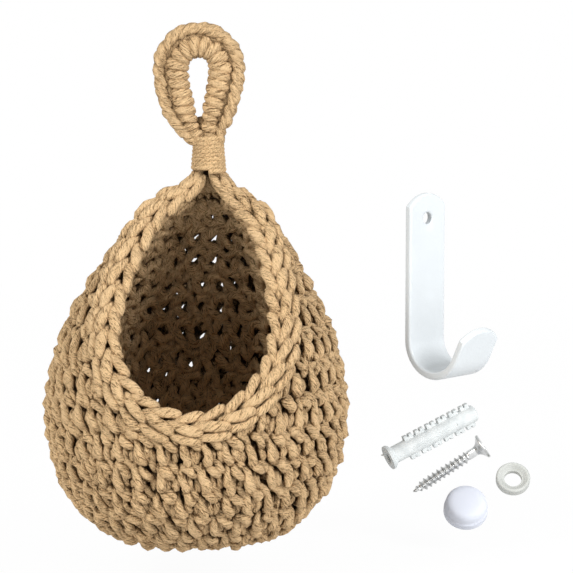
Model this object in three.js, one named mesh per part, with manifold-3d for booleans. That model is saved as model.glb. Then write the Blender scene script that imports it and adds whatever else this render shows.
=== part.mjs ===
// A crocheted teardrop basket on a wound hanging loop, shown with its wall fixing kit:
// a flat steel hook, a countersunk screw, a wall plug, a cup washer and a screw cap.
// Millimetres, Z up, the viewer at minus Y with X to the right.
// The origin is the hanging point, the inside top of the loop's eye.

import * as THREE from 'three';
import { mergeVertices } from 'three/addons/utils/BufferGeometryUtils.js';
import Module from 'manifold-3d';

const wasm = await Module();
wasm.setup();

// Fits and cuts
const clearance = 0.3;
const cutOverrun = 1;
const weldDistance = 0.001;

// Basket
const basketWidth = 149;
const basketHeight = 172.7;
const wallThickness = 9;
const floorThickness = 8;
const baseDiscRadius = 36;
const lipToJoint = 7.4628;
const roundHeight = 12.9;
const rowHeight = 14.8;
const rowGroove = 2.2;
const rowEndShare = 0.3;
const bowlSplitShare = 0.48;
const sideSplitShare = 0.21;
const topSplitShare = 0.43;
const bowlCentreX = -2;
const bowlCentreY = -6.4;
const beltHeightShare = 0.376;
// Outer shape of the basket as [height share, radius share], from the base to the neck
const podShares = [
  [0, 0.53], [0.05, 0.7], [0.12, 0.845], [0.22, 0.95], [0.36, 1], [0.5, 0.96],
  [0.62, 0.868], [0.74, 0.715], [0.86, 0.54], [0.95, 0.36], [1, 0.2],
];

// Opening, cut by a tilted plane, and the two chains that edge it
const rimTilt = THREE.MathUtils.degToRad(35);
const rimPlaneRise = 2;
const rimSeatInset = 5.5;
const rimTopDrop = 4.5;
const rimChainWidth = 6.3;
const rimChainDepth = 6.3;

// Hanging loop
const eyeRadius = 4.8;
const bandWidth = 12;
const bandDepth = 11.6;
const wrapCordWidth = 3.9;
const wrapTurns = 20;
const wrapStartShare = 0.05;
const wrapSqueezeShare = 0.6;
const squeezeStartShare = 0.24;
const squeezeFullShare = 0.32;
const footTaperShare = 0.75;
const taperEndShare = 0.24;
const legDrop = 29.2;
const footX = 0.6;
const footSpread = 4.9;
const loopArcSplay = THREE.MathUtils.degToRad(8);
const edgeChainWidth = 5.5;
const edgeChainDepth = 8;
const edgeChainStartShare = 0.05;

// Bound neck
const neckX = 4;
const neckLegSpread = 3.4;
const neckLegLift = 1.6;
const footToNeck = 3.4;
const neckLength = 19.1;
const neckCoreRadius = 6.8;
const bindingCordWidth = 1.6;
const bindingPitch = 2.05;
const bindingTurns = 8.5;
const gatherLength = 7.9;
const gatherTopRadius = 8.2;
const gatherBottomRadius = 13.2;

// Hook, a flat bar bent to a J with arched ends
const hookWidth = 27;
const hookHeight = 94.7;
const hookThickness = 4;
const hookBendRadius = 19;
const hookTongueLean = THREE.MathUtils.degToRad(26);
const hookTongueHeight = 27;
const hookArchRise = 6.5;
const hookHoleRadius = 3.1;
const hookHoleDrop = 13;
const hookX = 114;
const hookY = 55.8;
const hookZ = -167.1;
const hookTurn = THREE.MathUtils.degToRad(44.5);

// Screw
const screwLength = 44.7;
const screwHeadRadius = 6.6;
const screwHeadHeight = 5.4;
const screwRimHeight = 0.5;
const screwCoreRadius = 2.1;
const screwThreadDepth = 1.1;
const screwPitch = 2.8;
const screwTipLength = 5;
const screwTipRadius = 0.3;
const screwNeckLength = 5.5;
const recessLength = 6;
const recessWidth = 1.3;
const recessDepth = 2.2;
const screwX = 110.3;
const screwY = 59.4;
const screwZ = -231.7;
const screwRise = THREE.MathUtils.degToRad(33.8);

// Wall plug
const plugLength = 54.2;
const plugRadius = 4.6;
const plugTipRadius = 4;
const plugTipLength = 1.6;
const plugCollarRadius = 6.6;
const plugCollarLength = 1.6;
const plugBoreRadius = 2.4;
const plugBoreDepth = 41;
const plugSlotWidth = 1;
const plugSlotLength = 28;
const finCount = 6;
const finLength = 5.2;
const finWidth = 3;
const finHeight = 2.2;
const finPitch = 6.9;
const firstFin = 5.6;
const plugX = 96.5;
const plugY = 49.5;
const plugZ = -211.5;
const plugRise = THREE.MathUtils.degToRad(23.4);
const plugTurn = THREE.MathUtils.degToRad(19.6);

// Cup washer and screw cap
const washerRadius = 9;
const washerHoleRadius = 4.6;
const washerHeight = 5;
const washerLipWidth = 1.6;
const washerSeatDepth = 2.2;
const washerEdge = 0.8;
const washerX = 162.6;
const washerY = 57.6;
const washerZ = -225.7;
const washerLean = THREE.MathUtils.degToRad(48);
const capRadius = 11.6;
const capHeight = 11.2;
const capWall = 1.3;
const capSkirt = 4.2;
const capTopShare = 0.42;
const capX = 137.7;
const capY = 55.5;
const capZ = -241.5;
const capLean = THREE.MathUtils.degToRad(44);

// Steps and sides
const roundSegments = 40;
const chainSides = 8;
const rimSteps = 44;
const coreSteps = 30;
const edgeChainSteps = 34;
const arcPoints = 7;
const windingSides = 6;
const wrapSteps = 18;
const bindingSteps = 22;
const latheSegments = 24;
const holeSegments = 20;
const bendSteps = 12;
const archSteps = 8;
const screwSides = 12;
const ringsPerPitch = 4;
const domeSteps = 5;
const solveSteps = 40;

// Heights worked out from the sizes above
const footZ = -(eyeRadius + legDrop);
const neckTopZ = footZ - footToNeck;
const neckBottomZ = neckTopZ - neckLength;
const podTopZ = neckBottomZ - gatherLength - 2 * clearance;
const podBaseZ = podTopZ - basketHeight;
const beltZ = podBaseZ + beltHeightShare * basketHeight;
const rimPlaneZ = podTopZ + rimPlaneRise;
const lipZ = rimPlaneZ + (bowlCentreY - basketWidth / 2) / Math.tan(rimTilt);
const jointZ = lipZ - lipToJoint;
const jointHeight = jointZ - podBaseZ;

const up = new THREE.Vector3(0, 0, 1);
const back = new THREE.Vector3(0, 1, 0);
const rimNormal = new THREE.Vector3(0, -Math.cos(rimTilt), Math.sin(rimTilt));

// Material of one colour, roughness and metalness
function finish(color, roughness, metalness) {
  return new THREE.MeshStandardMaterial({ color, roughness, metalness });
}

const cottonCord = () => finish(0xb1936d, 0.95, 0);
const whiteSteel = () => finish(0xeef2f4, 0.45, 0.1);
const zincSteel = () => finish(0xb9bcbc, 0.3, 1);
const clearPlastic = () => finish(0xdfe3e3, 0.35, 0);
const whitePlastic = () => finish(0xe7eaf2, 0.2, 0);

// Smooth value at x on the curve through a list of [x, value] points
function smoothAt(points, x) {
  const last = points.length - 1;
  let i = 0;
  while (i < last - 1 && x > points[i + 1][0]) i += 1;
  const slopeAt = (k) => {
    const before = points[Math.max(k - 1, 0)];
    const after = points[Math.min(k + 1, last)];
    return (after[1] - before[1]) / (after[0] - before[0]);
  };
  const [x0, value0] = points[i];
  const [x1, value1] = points[i + 1];
  const span = x1 - x0;
  const t = (x - x0) / span;
  const rise = t * t * (3 - 2 * t);
  const leave = t * (1 - t) * (1 - t);
  const arrive = t * t * (t - 1);
  return value0 + (value1 - value0) * rise + span * (slopeAt(i) * leave + slopeAt(i + 1) * arrive);
}

// Point where a rising test first holds, by halving the span between low and high
function solve(low, high, test) {
  let a = low;
  let b = high;
  for (let step = 0; step < solveSteps; step += 1) {
    const middle = (a + b) / 2;
    if (test(middle)) b = middle;
    else a = middle;
  }
  return (a + b) / 2;
}

// Indexed triangles with shared corners, no empty triangles and faces that point out
function closed(geometry) {
  geometry.deleteAttribute('normal');
  geometry.deleteAttribute('uv');
  const merged = mergeVertices(geometry, weldDistance);
  const place = merged.getAttribute('position');
  const old = merged.getIndex().array;
  const corners = [];
  for (let i = 0; i < old.length; i += 3) {
    const [a, b, c] = [old[i], old[i + 1], old[i + 2]];
    if (a !== b && b !== c && c !== a) corners.push(a, b, c);
  }
  let volume = 0;
  const at = (i) => new THREE.Vector3().fromBufferAttribute(place, i);
  for (let i = 0; i < corners.length; i += 3) {
    volume += at(corners[i]).dot(at(corners[i + 1]).cross(at(corners[i + 2])));
  }
  if (volume < 0) corners.reverse();
  merged.setIndex(corners);
  return merged;
}

// Closed surface over a row of rings, joined end to end or capped at both ends
function skin(rings, joined) {
  const sides = rings[0].length;
  const index = [];
  const spans = joined ? rings.length : rings.length - 1;
  for (let r = 0; r < spans; r += 1) {
    const next = (r + 1) % rings.length;
    for (let s = 0; s < sides; s += 1) {
      const t = (s + 1) % sides;
      const [a, b, c, d] = [r * sides + s, r * sides + t, next * sides + t, next * sides + s];
      index.push(a, b, c, a, c, d);
    }
  }
  const end = (rings.length - 1) * sides;
  for (let s = 1; s < sides - 1 && !joined; s += 1) {
    index.push(0, s + 1, s, end, end + s, end + s + 1);
  }
  const geometry = new THREE.BufferGeometry().setFromPoints(rings.flat());
  geometry.setIndex(index);
  return closed(geometry);
}

// Direction of travel at one point of a list
function heading(points, i) {
  const after = points[Math.min(i + 1, points.length - 1)];
  const before = points[Math.max(i - 1, 0)];
  return after.clone().sub(before).normalize();
}

// Tube with an oval section along a list of points, its width lying along the sideways vectors
function sweep(points, sideways, halfWidths, halfDepths, sides) {
  const rings = points.map((point, i) => {
    const travel = heading(points, i);
    const across = sideways[i].clone().addScaledVector(travel, -sideways[i].dot(travel)).normalize();
    const deep = travel.clone().cross(across);
    return Array.from({ length: sides }, (_, s) => {
      const angle = (2 * Math.PI * s) / sides;
      const corner = point.clone().addScaledVector(across, halfWidths[i] * Math.cos(angle));
      return corner.addScaledVector(deep, halfDepths[i] * Math.sin(angle));
    });
  });
  return skin(rings, false);
}

// Body turned about the Z axis from a profile of [radius, height] points
function turned(profile, segments) {
  const points = profile.map(([radius, height]) => new THREE.Vector2(radius, height));
  const geometry = new THREE.LatheGeometry(points, segments);
  geometry.rotateX(Math.PI / 2);
  return closed(geometry);
}

// Profile points brought back to the first, for a turned ring
function ringProfile(profile) {
  return [...profile, profile[0]];
}

// Solid for a boolean, from a closed geometry
function solidOf(geometry) {
  const clean = closed(geometry);
  const vertProperties = new Float32Array(clean.getAttribute('position').array);
  const triVerts = new Uint32Array(clean.getIndex().array);
  return new wasm.Manifold(new wasm.Mesh({ numProp: 3, vertProperties, triVerts }));
}

// Geometry of a boolean's result
function geometryOf(solid) {
  const mesh = solid.getMesh();
  const geometry = new THREE.BufferGeometry();
  geometry.setAttribute('position', new THREE.BufferAttribute(mesh.vertProperties, 3));
  geometry.setIndex(new THREE.BufferAttribute(mesh.triVerts, 1));
  return closed(geometry);
}

// Least gap between the turns of a tube, on its own points, past half a turn of travel
function leastGap(points, halfWidths, stepsPerTurn) {
  let least = Infinity;
  for (let i = 0; i < points.length; i += 1) {
    for (let j = i + Math.round(stepsPerTurn / 2); j < points.length; j += 1) {
      const gap = points[i].distanceTo(points[j]) - halfWidths[i] - halfWidths[j];
      least = Math.min(least, gap);
    }
  }
  return least;
}

// Tube wound along a list of points, with a straight run of its own width at both ends
function winding(name, points, sideways, halfWidths, stepsPerTurn) {
  console.log(`${name}: least gap to itself ${leastGap(points, halfWidths, stepsPerTurn).toFixed(2)} mm`);
  const last = points.length - 1;
  const first = points[0].clone().addScaledVector(heading(points, 0), -2 * halfWidths[0]);
  const final = points[last].clone().addScaledVector(heading(points, last), 2 * halfWidths[last]);
  const widths = [halfWidths[0], ...halfWidths, halfWidths[last]];
  const sides = [sideways[0], ...sideways, sideways[last]];
  return sweep([first, ...points, final], sides, widths, widths, windingSides);
}

// Outer radius of the basket at a height
function podRadius(z) {
  return (basketWidth / 2) * smoothAt(podShares, (z - podBaseZ) / basketHeight);
}

// Middle of the basket at a height, drawn over to the neck above the belt
function podCentre(z) {
  const rise = THREE.MathUtils.clamp((z - beltZ) / (podTopZ - beltZ), 0, 1);
  const lean = rise * rise;
  return new THREE.Vector3(bowlCentreX + (neckX - bowlCentreX) * lean, bowlCentreY * (1 - lean), z);
}

// Point of the basket's wall, at an angle from the front and an inset from the outer face
function podPoint(angle, z, inset) {
  const radius = podRadius(z) - inset;
  const centre = podCentre(z);
  return new THREE.Vector3(centre.x + radius * Math.sin(angle), centre.y - radius * Math.cos(angle), z);
}

// Depth of the opening's plane at a height
function rimPlaneY(z) {
  return Math.tan(rimTilt) * (z - rimPlaneZ);
}

// Height at which the wall ends, at the opening's plane or at the neck
function wallTop(angle, inset) {
  const inFront = (z) => podPoint(angle, z, inset).y < rimPlaneY(z);
  return inFront(podTopZ) ? solve(jointZ, podTopZ, inFront) : podTopZ;
}

// Worked disc that the basket starts from
function baseDisc() {
  const top = podBaseZ + floorThickness;
  return turned([[0, podBaseZ], [baseDiscRadius, podBaseZ], [baseDiscRadius, top], [0, top]], roundSegments);
}

// Heights of the worked rows between two heights: a crest at each row's ends and a groove in its middle
function worked(low, high, height) {
  const halves = 2 * Math.max(Math.round((high - low) / height), 1);
  return Array.from({ length: halves + 1 }, (_, i) => ({
    z: low + ((high - low) * i) / halves,
    sunk: i % 2 === 1 ? rowGroove : 0,
  }));
}

// Wall of the bowl, from the base disc up to the joint under the lip
function bowlWall() {
  const floorTop = podBaseZ + floorThickness;
  const rows = worked(podBaseZ, jointZ, roundHeight);
  const outer = rows.map(({ z, sunk }) => [podRadius(z) - sunk, z]);
  const inner = rows.filter(({ z }) => z > floorTop + roundHeight / 4)
    .map(({ z, sunk }) => [podRadius(z) - wallThickness + sunk, z]).reverse();
  inner.push([podRadius(floorTop) - wallThickness, floorTop]);
  const seat = baseDiscRadius + clearance;
  return turned(ringProfile([...outer, ...inner, [seat, floorTop], [seat, podBaseZ]]), roundSegments);
}

// Part of a wall that lies below a height
function below(geometry, z) {
  return geometryOf(solidOf(geometry).trimByPlane([0, 0, -1], -z));
}

// Part of a wall that lies above a height, clear of the part below
function above(geometry, z) {
  return geometryOf(solidOf(geometry).trimByPlane([0, 0, 1], z + clearance));
}

// Wall of the back and sides, from the joint up to the opening's plane and the neck
function upperWall() {
  const rows = worked(jointZ + clearance, podTopZ, rowHeight);
  const column = (angle, inset, sink) => {
    const top = wallTop(angle, inset);
    return rows.map(({ z, sunk }) => (
      z < top - rowEndShare * rowHeight ? podPoint(angle, z, inset + sink * sunk) : podPoint(angle, top, inset)
    ));
  };
  const rings = Array.from({ length: roundSegments }, (_, step) => {
    const angle = (2 * Math.PI * step) / roundSegments;
    return [...column(angle, 0, 1), ...column(angle, wallThickness, -1).reverse()];
  });
  return skin(rings, true);
}

// Line along the middle of the wall's cut edge, from the neck down round the lip and up again
function rimLine() {
  const frontZ = wallTop(0, rimSeatInset);
  const topZ = podTopZ - rimTopDrop;
  const halfSteps = rimSteps / 2;
  const points = [];
  for (let step = -halfSteps; step <= halfSteps; step += 1) {
    const z = frontZ + (topZ - frontZ) * (step / halfSteps) ** 2;
    const reach = (podCentre(z).y - rimPlaneY(z)) / (podRadius(z) - rimSeatInset);
    points.push(podPoint(Math.sign(step) * Math.acos(Math.min(reach, 1)), z, rimSeatInset));
  }
  return new THREE.CatmullRomCurve3(points).getSpacedPoints(rimSteps);
}

// One chain of edge stitches, on the inner side of the rim or the outer
function rimChain(side) {
  const middle = rimLine();
  const lift = rimChainDepth / 2 + clearance;
  const shift = (side * (rimChainWidth + clearance)) / 2;
  const sideways = middle.map((_, i) => heading(middle, i).cross(rimNormal));
  const points = middle.map((point, i) => (
    point.clone().addScaledVector(rimNormal, lift).addScaledVector(sideways[i], shift)
  ));
  const widths = points.map(() => rimChainWidth / 2);
  const depths = points.map(() => rimChainDepth / 2);
  return sweep(points, sideways, widths, depths, chainSides);
}

// Stitches drawn together between the basket and the bound neck
function neckGather() {
  const top = neckBottomZ - clearance;
  const bottom = top - gatherLength;
  const profile = [[0, bottom], [gatherBottomRadius, bottom], [gatherTopRadius, top], [0, top]];
  return turned(profile, latheSegments);
}

// Middle line of the hanging loop, up one leg, over the eye and down the other
function loopCurve() {
  const radius = eyeRadius + bandWidth / 2;
  const points = [
    new THREE.Vector3(neckX - neckLegSpread, 0, neckTopZ + clearance + neckLegLift),
    new THREE.Vector3(footX - footSpread, 0, footZ),
  ];
  for (let i = 0; i < arcPoints; i += 1) {
    const angle = Math.PI + loopArcSplay - ((Math.PI + 2 * loopArcSplay) * i) / (arcPoints - 1);
    const height = radius * Math.sin(angle) - eyeRadius;
    points.push(new THREE.Vector3(radius * Math.cos(angle), 0, height));
  }
  points.push(new THREE.Vector3(footX + footSpread, 0, footZ));
  points.push(new THREE.Vector3(neckX + neckLegSpread, 0, neckTopZ + clearance + neckLegLift));
  return new THREE.CatmullRomCurve3(points, false, 'centripetal');
}

// Share of the loop's full thickness at a share of its length, less towards the feet
function loopTaper(t) {
  const nearest = Math.min(t, 1 - t);
  const full = THREE.MathUtils.smoothstep(nearest, 0, taperEndShare);
  return footTaperShare + (1 - footTaperShare) * full;
}

// Share by which the wrapped cord is squeezed on the inside of the eye
function loopSqueeze(t) {
  const nearest = Math.min(t, 1 - t);
  return wrapSqueezeShare * THREE.MathUtils.smoothstep(nearest, squeezeStartShare, squeezeFullShare);
}

// Cords at the heart of the loop, that the stitches are worked over
function loopCore() {
  const curve = loopCurve();
  const points = curve.getSpacedPoints(coreSteps);
  const sideways = points.map((_, i) => heading(points, i).cross(back));
  const coreWidth = bandWidth - 2 * wrapCordWidth - 2 * clearance;
  const coreDepth = bandDepth - 2 * wrapCordWidth - 2 * clearance;
  const tapers = points.map((_, i) => loopTaper(i / coreSteps));
  const widths = tapers.map((taper) => (coreWidth / 2) * taper);
  const depths = tapers.map((taper) => (coreDepth / 2) * taper);
  return sweep(points, sideways, widths, depths, chainSides);
}

// Stitches wound round the loop's core, as one tube
function loopWraps() {
  const curve = loopCurve();
  const total = wrapTurns * wrapSteps;
  const points = [];
  const sideways = [];
  const halfWidths = [];
  for (let step = 0; step <= total; step += 1) {
    const t = wrapStartShare + ((1 - 2 * wrapStartShare) * step) / total;
    const angle = (2 * Math.PI * step) / wrapSteps;
    const taper = loopTaper(t);
    const inward = (1 - Math.cos(angle)) / 2;
    const half = (wrapCordWidth / 2) * taper * (1 - loopSqueeze(t) * inward);
    const outward = curve.getTangentAt(t).cross(back);
    const radial = outward.clone().multiplyScalar(Math.cos(angle) * ((bandWidth / 2) * taper - half));
    radial.addScaledVector(back, Math.sin(angle) * ((bandDepth / 2) * taper - half));
    points.push(curve.getPointAt(t).add(radial));
    sideways.push(radial);
    halfWidths.push(half);
  }
  return winding('loop_wraps', points, sideways, halfWidths, wrapSteps);
}

// Chain of stitch heads round the outside of the loop
function loopEdgeChain() {
  const curve = loopCurve();
  const points = [];
  const sideways = [];
  for (let step = 0; step <= edgeChainSteps; step += 1) {
    const t = edgeChainStartShare + ((1 - 2 * edgeChainStartShare) * step) / edgeChainSteps;
    const outward = curve.getTangentAt(t).cross(back);
    const offset = (bandWidth / 2) * loopTaper(t) + clearance + edgeChainWidth / 2;
    points.push(curve.getPointAt(t).addScaledVector(outward, offset));
    sideways.push(outward);
  }
  const widths = points.map(() => edgeChainWidth / 2);
  const depths = points.map(() => edgeChainDepth / 2);
  return sweep(points, sideways, widths, depths, chainSides);
}

// Cords of the two legs, held together inside the binding
function neckCore() {
  const profile = [
    [0, neckBottomZ], [neckCoreRadius, neckBottomZ], [neckCoreRadius, neckTopZ], [0, neckTopZ],
  ];
  return turned(profile, latheSegments);
}

// Cord wound round the neck, as one tube
function neckBinding() {
  const radius = neckCoreRadius + clearance + bindingCordWidth / 2;
  const total = Math.round(bindingTurns * bindingSteps);
  const rise = bindingTurns * bindingPitch;
  const startZ = (neckTopZ + neckBottomZ - rise) / 2;
  const points = [];
  const sideways = [];
  for (let step = 0; step <= total; step += 1) {
    const angle = (2 * Math.PI * step) / bindingSteps;
    const radial = new THREE.Vector3(Math.sin(angle), -Math.cos(angle), 0);
    const height = startZ + (rise * step) / total;
    points.push(radial.clone().multiplyScalar(radius).addScaledVector(up, height));
    sideways.push(radial);
  }
  const halfWidths = points.map(() => bindingCordWidth / 2);
  return winding('neck_binding', points, sideways, halfWidths, bindingSteps);
}

// Side view of the hook as a closed outline, with distance from the wall along X
function hookOutline() {
  const outline = new THREE.Shape();
  const inner = hookBendRadius - hookThickness;
  const bendEnd = 2 * Math.PI - hookTongueLean;
  const along = new THREE.Vector2(Math.sin(hookTongueLean), Math.cos(hookTongueLean));
  const bendTop = hookBendRadius * (1 - Math.sin(hookTongueLean));
  const tongue = (hookTongueHeight - bendTop) / Math.cos(hookTongueLean);
  outline.moveTo(0, hookHeight);
  outline.lineTo(0, hookBendRadius);
  outline.absarc(hookBendRadius, hookBendRadius, hookBendRadius, Math.PI, bendEnd, false);
  const outerEnd = outline.currentPoint.clone();
  outline.lineTo(outerEnd.x + along.x * tongue, outerEnd.y + along.y * tongue);
  const tip = outline.currentPoint.clone();
  outline.lineTo(tip.x - along.y * hookThickness, tip.y + along.x * hookThickness);
  outline.absarc(hookBendRadius, hookBendRadius, inner, bendEnd, Math.PI, true);
  outline.lineTo(hookThickness, hookHeight);
  outline.closePath();
  return { outline, tip };
}

// Cutter that leaves an arched end on a bar, its arch top at the origin and its bar along minus Z
function archCutter() {
  const half = hookWidth / 2;
  const radius = (half * half + hookArchRise * hookArchRise) / (2 * hookArchRise);
  const reach = Math.asin(half / radius);
  const side = half + cutOverrun;
  const top = hookThickness + cutOverrun;
  const outline = new THREE.Shape();
  outline.moveTo(-side, -hookArchRise);
  outline.lineTo(-half, -hookArchRise);
  outline.absarc(0, -radius, radius, Math.PI / 2 + reach, Math.PI / 2 - reach, true);
  outline.lineTo(side, -hookArchRise);
  outline.lineTo(side, top);
  outline.lineTo(-side, top);
  outline.closePath();
  const depth = 2 * (hookThickness + cutOverrun);
  const cutter = new THREE.ExtrudeGeometry(outline, { depth, bevelEnabled: false, curveSegments: archSteps });
  cutter.translate(0, 0, -depth / 2);
  cutter.rotateX(Math.PI / 2);
  return cutter;
}

// Bar bent to a J, its back on the plane Y = 0 and its bend resting on Z = 0
function hookGeometry() {
  const { outline, tip } = hookOutline();
  const bar = new THREE.ExtrudeGeometry(outline, { depth: hookWidth, bevelEnabled: false, curveSegments: bendSteps });
  bar.rotateX(Math.PI / 2);
  bar.rotateZ(-Math.PI / 2);
  bar.translate(hookWidth / 2, 0, 0);
  const topCutter = archCutter();
  topCutter.translate(0, -hookThickness / 2, hookHeight);
  const tongueCutter = archCutter();
  tongueCutter.rotateX(hookTongueLean);
  tongueCutter.translate(0, -tip.x, tip.y);
  const hole = new THREE.CylinderGeometry(
    hookHoleRadius, hookHoleRadius, hookThickness + 2 * cutOverrun, holeSegments,
  );
  hole.translate(0, -hookThickness / 2, 0);
  hole.translate(0, 0, hookHeight - hookHoleDrop);
  const cut = solidOf(bar).subtract(solidOf(topCutter)).subtract(solidOf(tongueCutter));
  return geometryOf(cut.subtract(solidOf(hole)));
}

// Radius of the screw's threaded shank at a height above its tip and an angle
function shankRadius(height, angle) {
  const tipShare = Math.min(height / screwTipLength, 1);
  const core = screwTipRadius + (screwCoreRadius - screwTipRadius) * tipShare;
  const turn = height / screwPitch - angle / (2 * Math.PI);
  const phase = turn - Math.floor(turn);
  const crest = Math.max(0, 1 - 4 * Math.abs(phase - 1 / 2));
  return core + screwThreadDepth * tipShare * crest;
}

// Countersunk cross head screw, its tip at the origin and its head at the top
function screwGeometry() {
  const shankTop = screwLength - screwHeadHeight;
  const threadTop = shankTop - screwNeckLength;
  const ringCount = Math.round((threadTop / screwPitch) * ringsPerPitch);
  const ring = (radiusAt, height) => Array.from({ length: screwSides }, (_, s) => {
    const angle = (2 * Math.PI * s) / screwSides;
    const radius = radiusAt(angle);
    return new THREE.Vector3(radius * Math.sin(angle), -radius * Math.cos(angle), height);
  });
  const rings = [];
  for (let i = 0; i <= ringCount; i += 1) {
    const height = (threadTop * i) / ringCount;
    rings.push(ring((angle) => shankRadius(height, angle), height));
  }
  const plain = screwCoreRadius + screwThreadDepth / 2;
  rings.push(ring(() => plain, threadTop + screwThreadDepth));
  rings.push(ring(() => plain, shankTop));
  rings.push(ring(() => screwHeadRadius, screwLength - screwRimHeight));
  rings.push(ring(() => screwHeadRadius, screwLength));
  const bodySolid = solidOf(skin(rings, false));
  const slotDepth = recessDepth + cutOverrun;
  const slot = new THREE.BoxGeometry(recessLength, recessWidth, slotDepth);
  slot.translate(0, 0, screwLength - recessDepth + slotDepth / 2);
  const crossed = slot.clone().rotateZ(Math.PI / 2);
  return geometryOf(bodySolid.subtract(solidOf(slot)).subtract(solidOf(crossed)));
}

// Wall plug, its closed tip at the origin and its collar and mouth at the top
function plugGeometry() {
  const collarBottom = plugLength - plugCollarLength;
  const boreBottom = plugLength - plugBoreDepth;
  let plug = solidOf(turned([
    [0, 0], [plugTipRadius, 0], [plugRadius, plugTipLength], [plugRadius, collarBottom],
    [plugCollarRadius, collarBottom], [plugCollarRadius, plugLength],
    [plugBoreRadius, plugLength], [plugBoreRadius, boreBottom], [0, boreBottom],
  ], latheSegments));
  for (let i = 0; i < finCount; i += 1) {
    for (const side of [-1, 1]) {
      const fin = new THREE.BoxGeometry(finHeight + plugRadius - plugBoreRadius, finWidth, finLength);
      const reach = (plugBoreRadius + plugRadius + finHeight) / 2 + clearance;
      fin.translate(side * reach, 0, firstFin + finPitch * i);
      plug = plug.add(solidOf(fin));
    }
  }
  const slot = new THREE.BoxGeometry(plugSlotWidth, 2 * plugRadius + 2 * cutOverrun, plugSlotLength);
  slot.translate(0, 0, boreBottom + plugSlotLength / 2);
  return geometryOf(plug.subtract(solidOf(slot)));
}

// Cup washer, a ring with a raised lip round a sunk seat, its back at the origin
function washerGeometry() {
  const seat = washerHeight - washerSeatDepth;
  const lip = washerRadius - washerLipWidth;
  return turned(ringProfile([
    [washerHoleRadius, 0], [washerRadius - washerEdge, 0], [washerRadius, washerEdge],
    [washerRadius, washerHeight - washerEdge], [washerRadius - washerEdge, washerHeight],
    [lip, washerHeight], [washerHoleRadius + washerEdge, seat], [washerHoleRadius, seat - washerEdge],
  ]), latheSegments);
}

// Screw cap, a thin dome over a straight skirt, open underneath
function capGeometry() {
  const profile = [];
  const dome = (radius, rise) => {
    for (let i = 0; i <= domeSteps; i += 1) {
      const angle = (Math.PI / 2) * (i / domeSteps);
      const bulge = Math.sin(angle) ** capTopShare;
      profile.push([radius * bulge, capSkirt + (rise - capSkirt) * Math.cos(angle)]);
    }
  };
  dome(capRadius, capHeight);
  profile.push([capRadius, 0], [capRadius - capWall, 0]);
  const inside = profile.length;
  dome(capRadius - capWall, capHeight - capWall);
  profile.splice(inside, domeSteps + 1, ...profile.slice(inside).reverse());
  return turned(profile, latheSegments);
}

// One named piece of the set
function piece(name, geometry, material) {
  const mesh = new THREE.Mesh(geometry, material);
  mesh.name = name;
  return mesh;
}

// Moves a piece or group to its place
function at(thing, x, y, z) {
  thing.position.set(x, y, z);
  return thing;
}

// Loop with its bound neck, which hangs from the origin
function hangingLoop() {
  const loop = new THREE.Group();
  loop.add(piece('loop_core', loopCore(), cottonCord()));
  loop.add(piece('loop_wraps', loopWraps(), cottonCord()));
  loop.add(piece('loop_edge_chain', loopEdgeChain(), cottonCord()));
  const neck = at(new THREE.Group(), neckX, 0, 0);
  neck.add(piece('neck_core', neckCore(), cottonCord()));
  neck.add(piece('neck_binding', neckBinding(), cottonCord()));
  loop.add(neck);
  return loop;
}

// Basket, with the stitches that draw it in to the neck
function basket() {
  const body = new THREE.Group();
  const bowl = at(new THREE.Group(), bowlCentreX, bowlCentreY, 0);
  const bowlSplitZ = podBaseZ + bowlSplitShare * jointHeight;
  const sideSplitZ = jointZ + sideSplitShare * (podTopZ - jointZ);
  const topSplitZ = jointZ + topSplitShare * (podTopZ - jointZ);
  const sides = upperWall();
  bowl.add(piece('base_disc', baseDisc(), cottonCord()));
  bowl.add(piece('bowl_lower', below(bowlWall(), bowlSplitZ), cottonCord()));
  bowl.add(piece('bowl_upper', above(bowlWall(), bowlSplitZ), cottonCord()));
  body.add(bowl);
  body.add(piece('side_lower', below(sides, sideSplitZ), cottonCord()));
  body.add(piece('side_upper', below(above(sides, sideSplitZ), topSplitZ), cottonCord()));
  body.add(piece('top_wall', above(sides, topSplitZ), cottonCord()));
  body.add(piece('rim_chain_inner', rimChain(-1), cottonCord()));
  body.add(piece('rim_chain_outer', rimChain(1), cottonCord()));
  body.add(at(piece('neck_gather', neckGather(), cottonCord()), neckX, 0, 0));
  return body;
}

// Fixing kit, each piece turned as it lies beside the basket
function fixingKit() {
  const kit = new THREE.Group();
  const hook = at(piece('wall_hook', hookGeometry(), whiteSteel()), hookX, hookY, hookZ);
  hook.rotation.z = hookTurn;
  const screw = at(piece('screw', screwGeometry(), zincSteel()), screwX, screwY, screwZ);
  screw.rotation.y = Math.PI / 2 - screwRise;
  const plug = at(piece('wall_plug', plugGeometry(), clearPlastic()), plugX, plugY, plugZ);
  plug.rotation.set(0, -Math.PI / 2 - plugRise, plugTurn, 'ZYX');
  plug.position.x += plugLength * Math.cos(plugRise) * Math.cos(plugTurn);
  plug.position.y += plugLength * Math.cos(plugRise) * Math.sin(plugTurn);
  plug.position.z += plugLength * Math.sin(plugRise);
  const washer = at(piece('cup_washer', washerGeometry(), clearPlastic()), washerX, washerY, washerZ);
  washer.rotation.x = washerLean;
  const cap = at(piece('screw_cap', capGeometry(), whitePlastic()), capX, capY, capZ);
  cap.rotation.x = capLean;
  kit.add(hook, screw, plug, washer, cap);
  return kit;
}

const model = new THREE.Group();
model.add(hangingLoop(), basket(), fixingKit());

export default model;
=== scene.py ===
# %% [markdown]
# # A crocheted hanging basket and its wall kit
#
# The real basket is worked from one thick cotton cord: rounds of stitches make the bowl, rows make the back and
# sides, a plait of chain stitches edges the opening, and a wound loop carries it on a white steel hook.
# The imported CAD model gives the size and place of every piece. This lesson puts real cord where the CAD has plain
# walls. Lengths are written in millimetres and turned into metres when a mesh is made.

# %% Load the frame
import math

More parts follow.
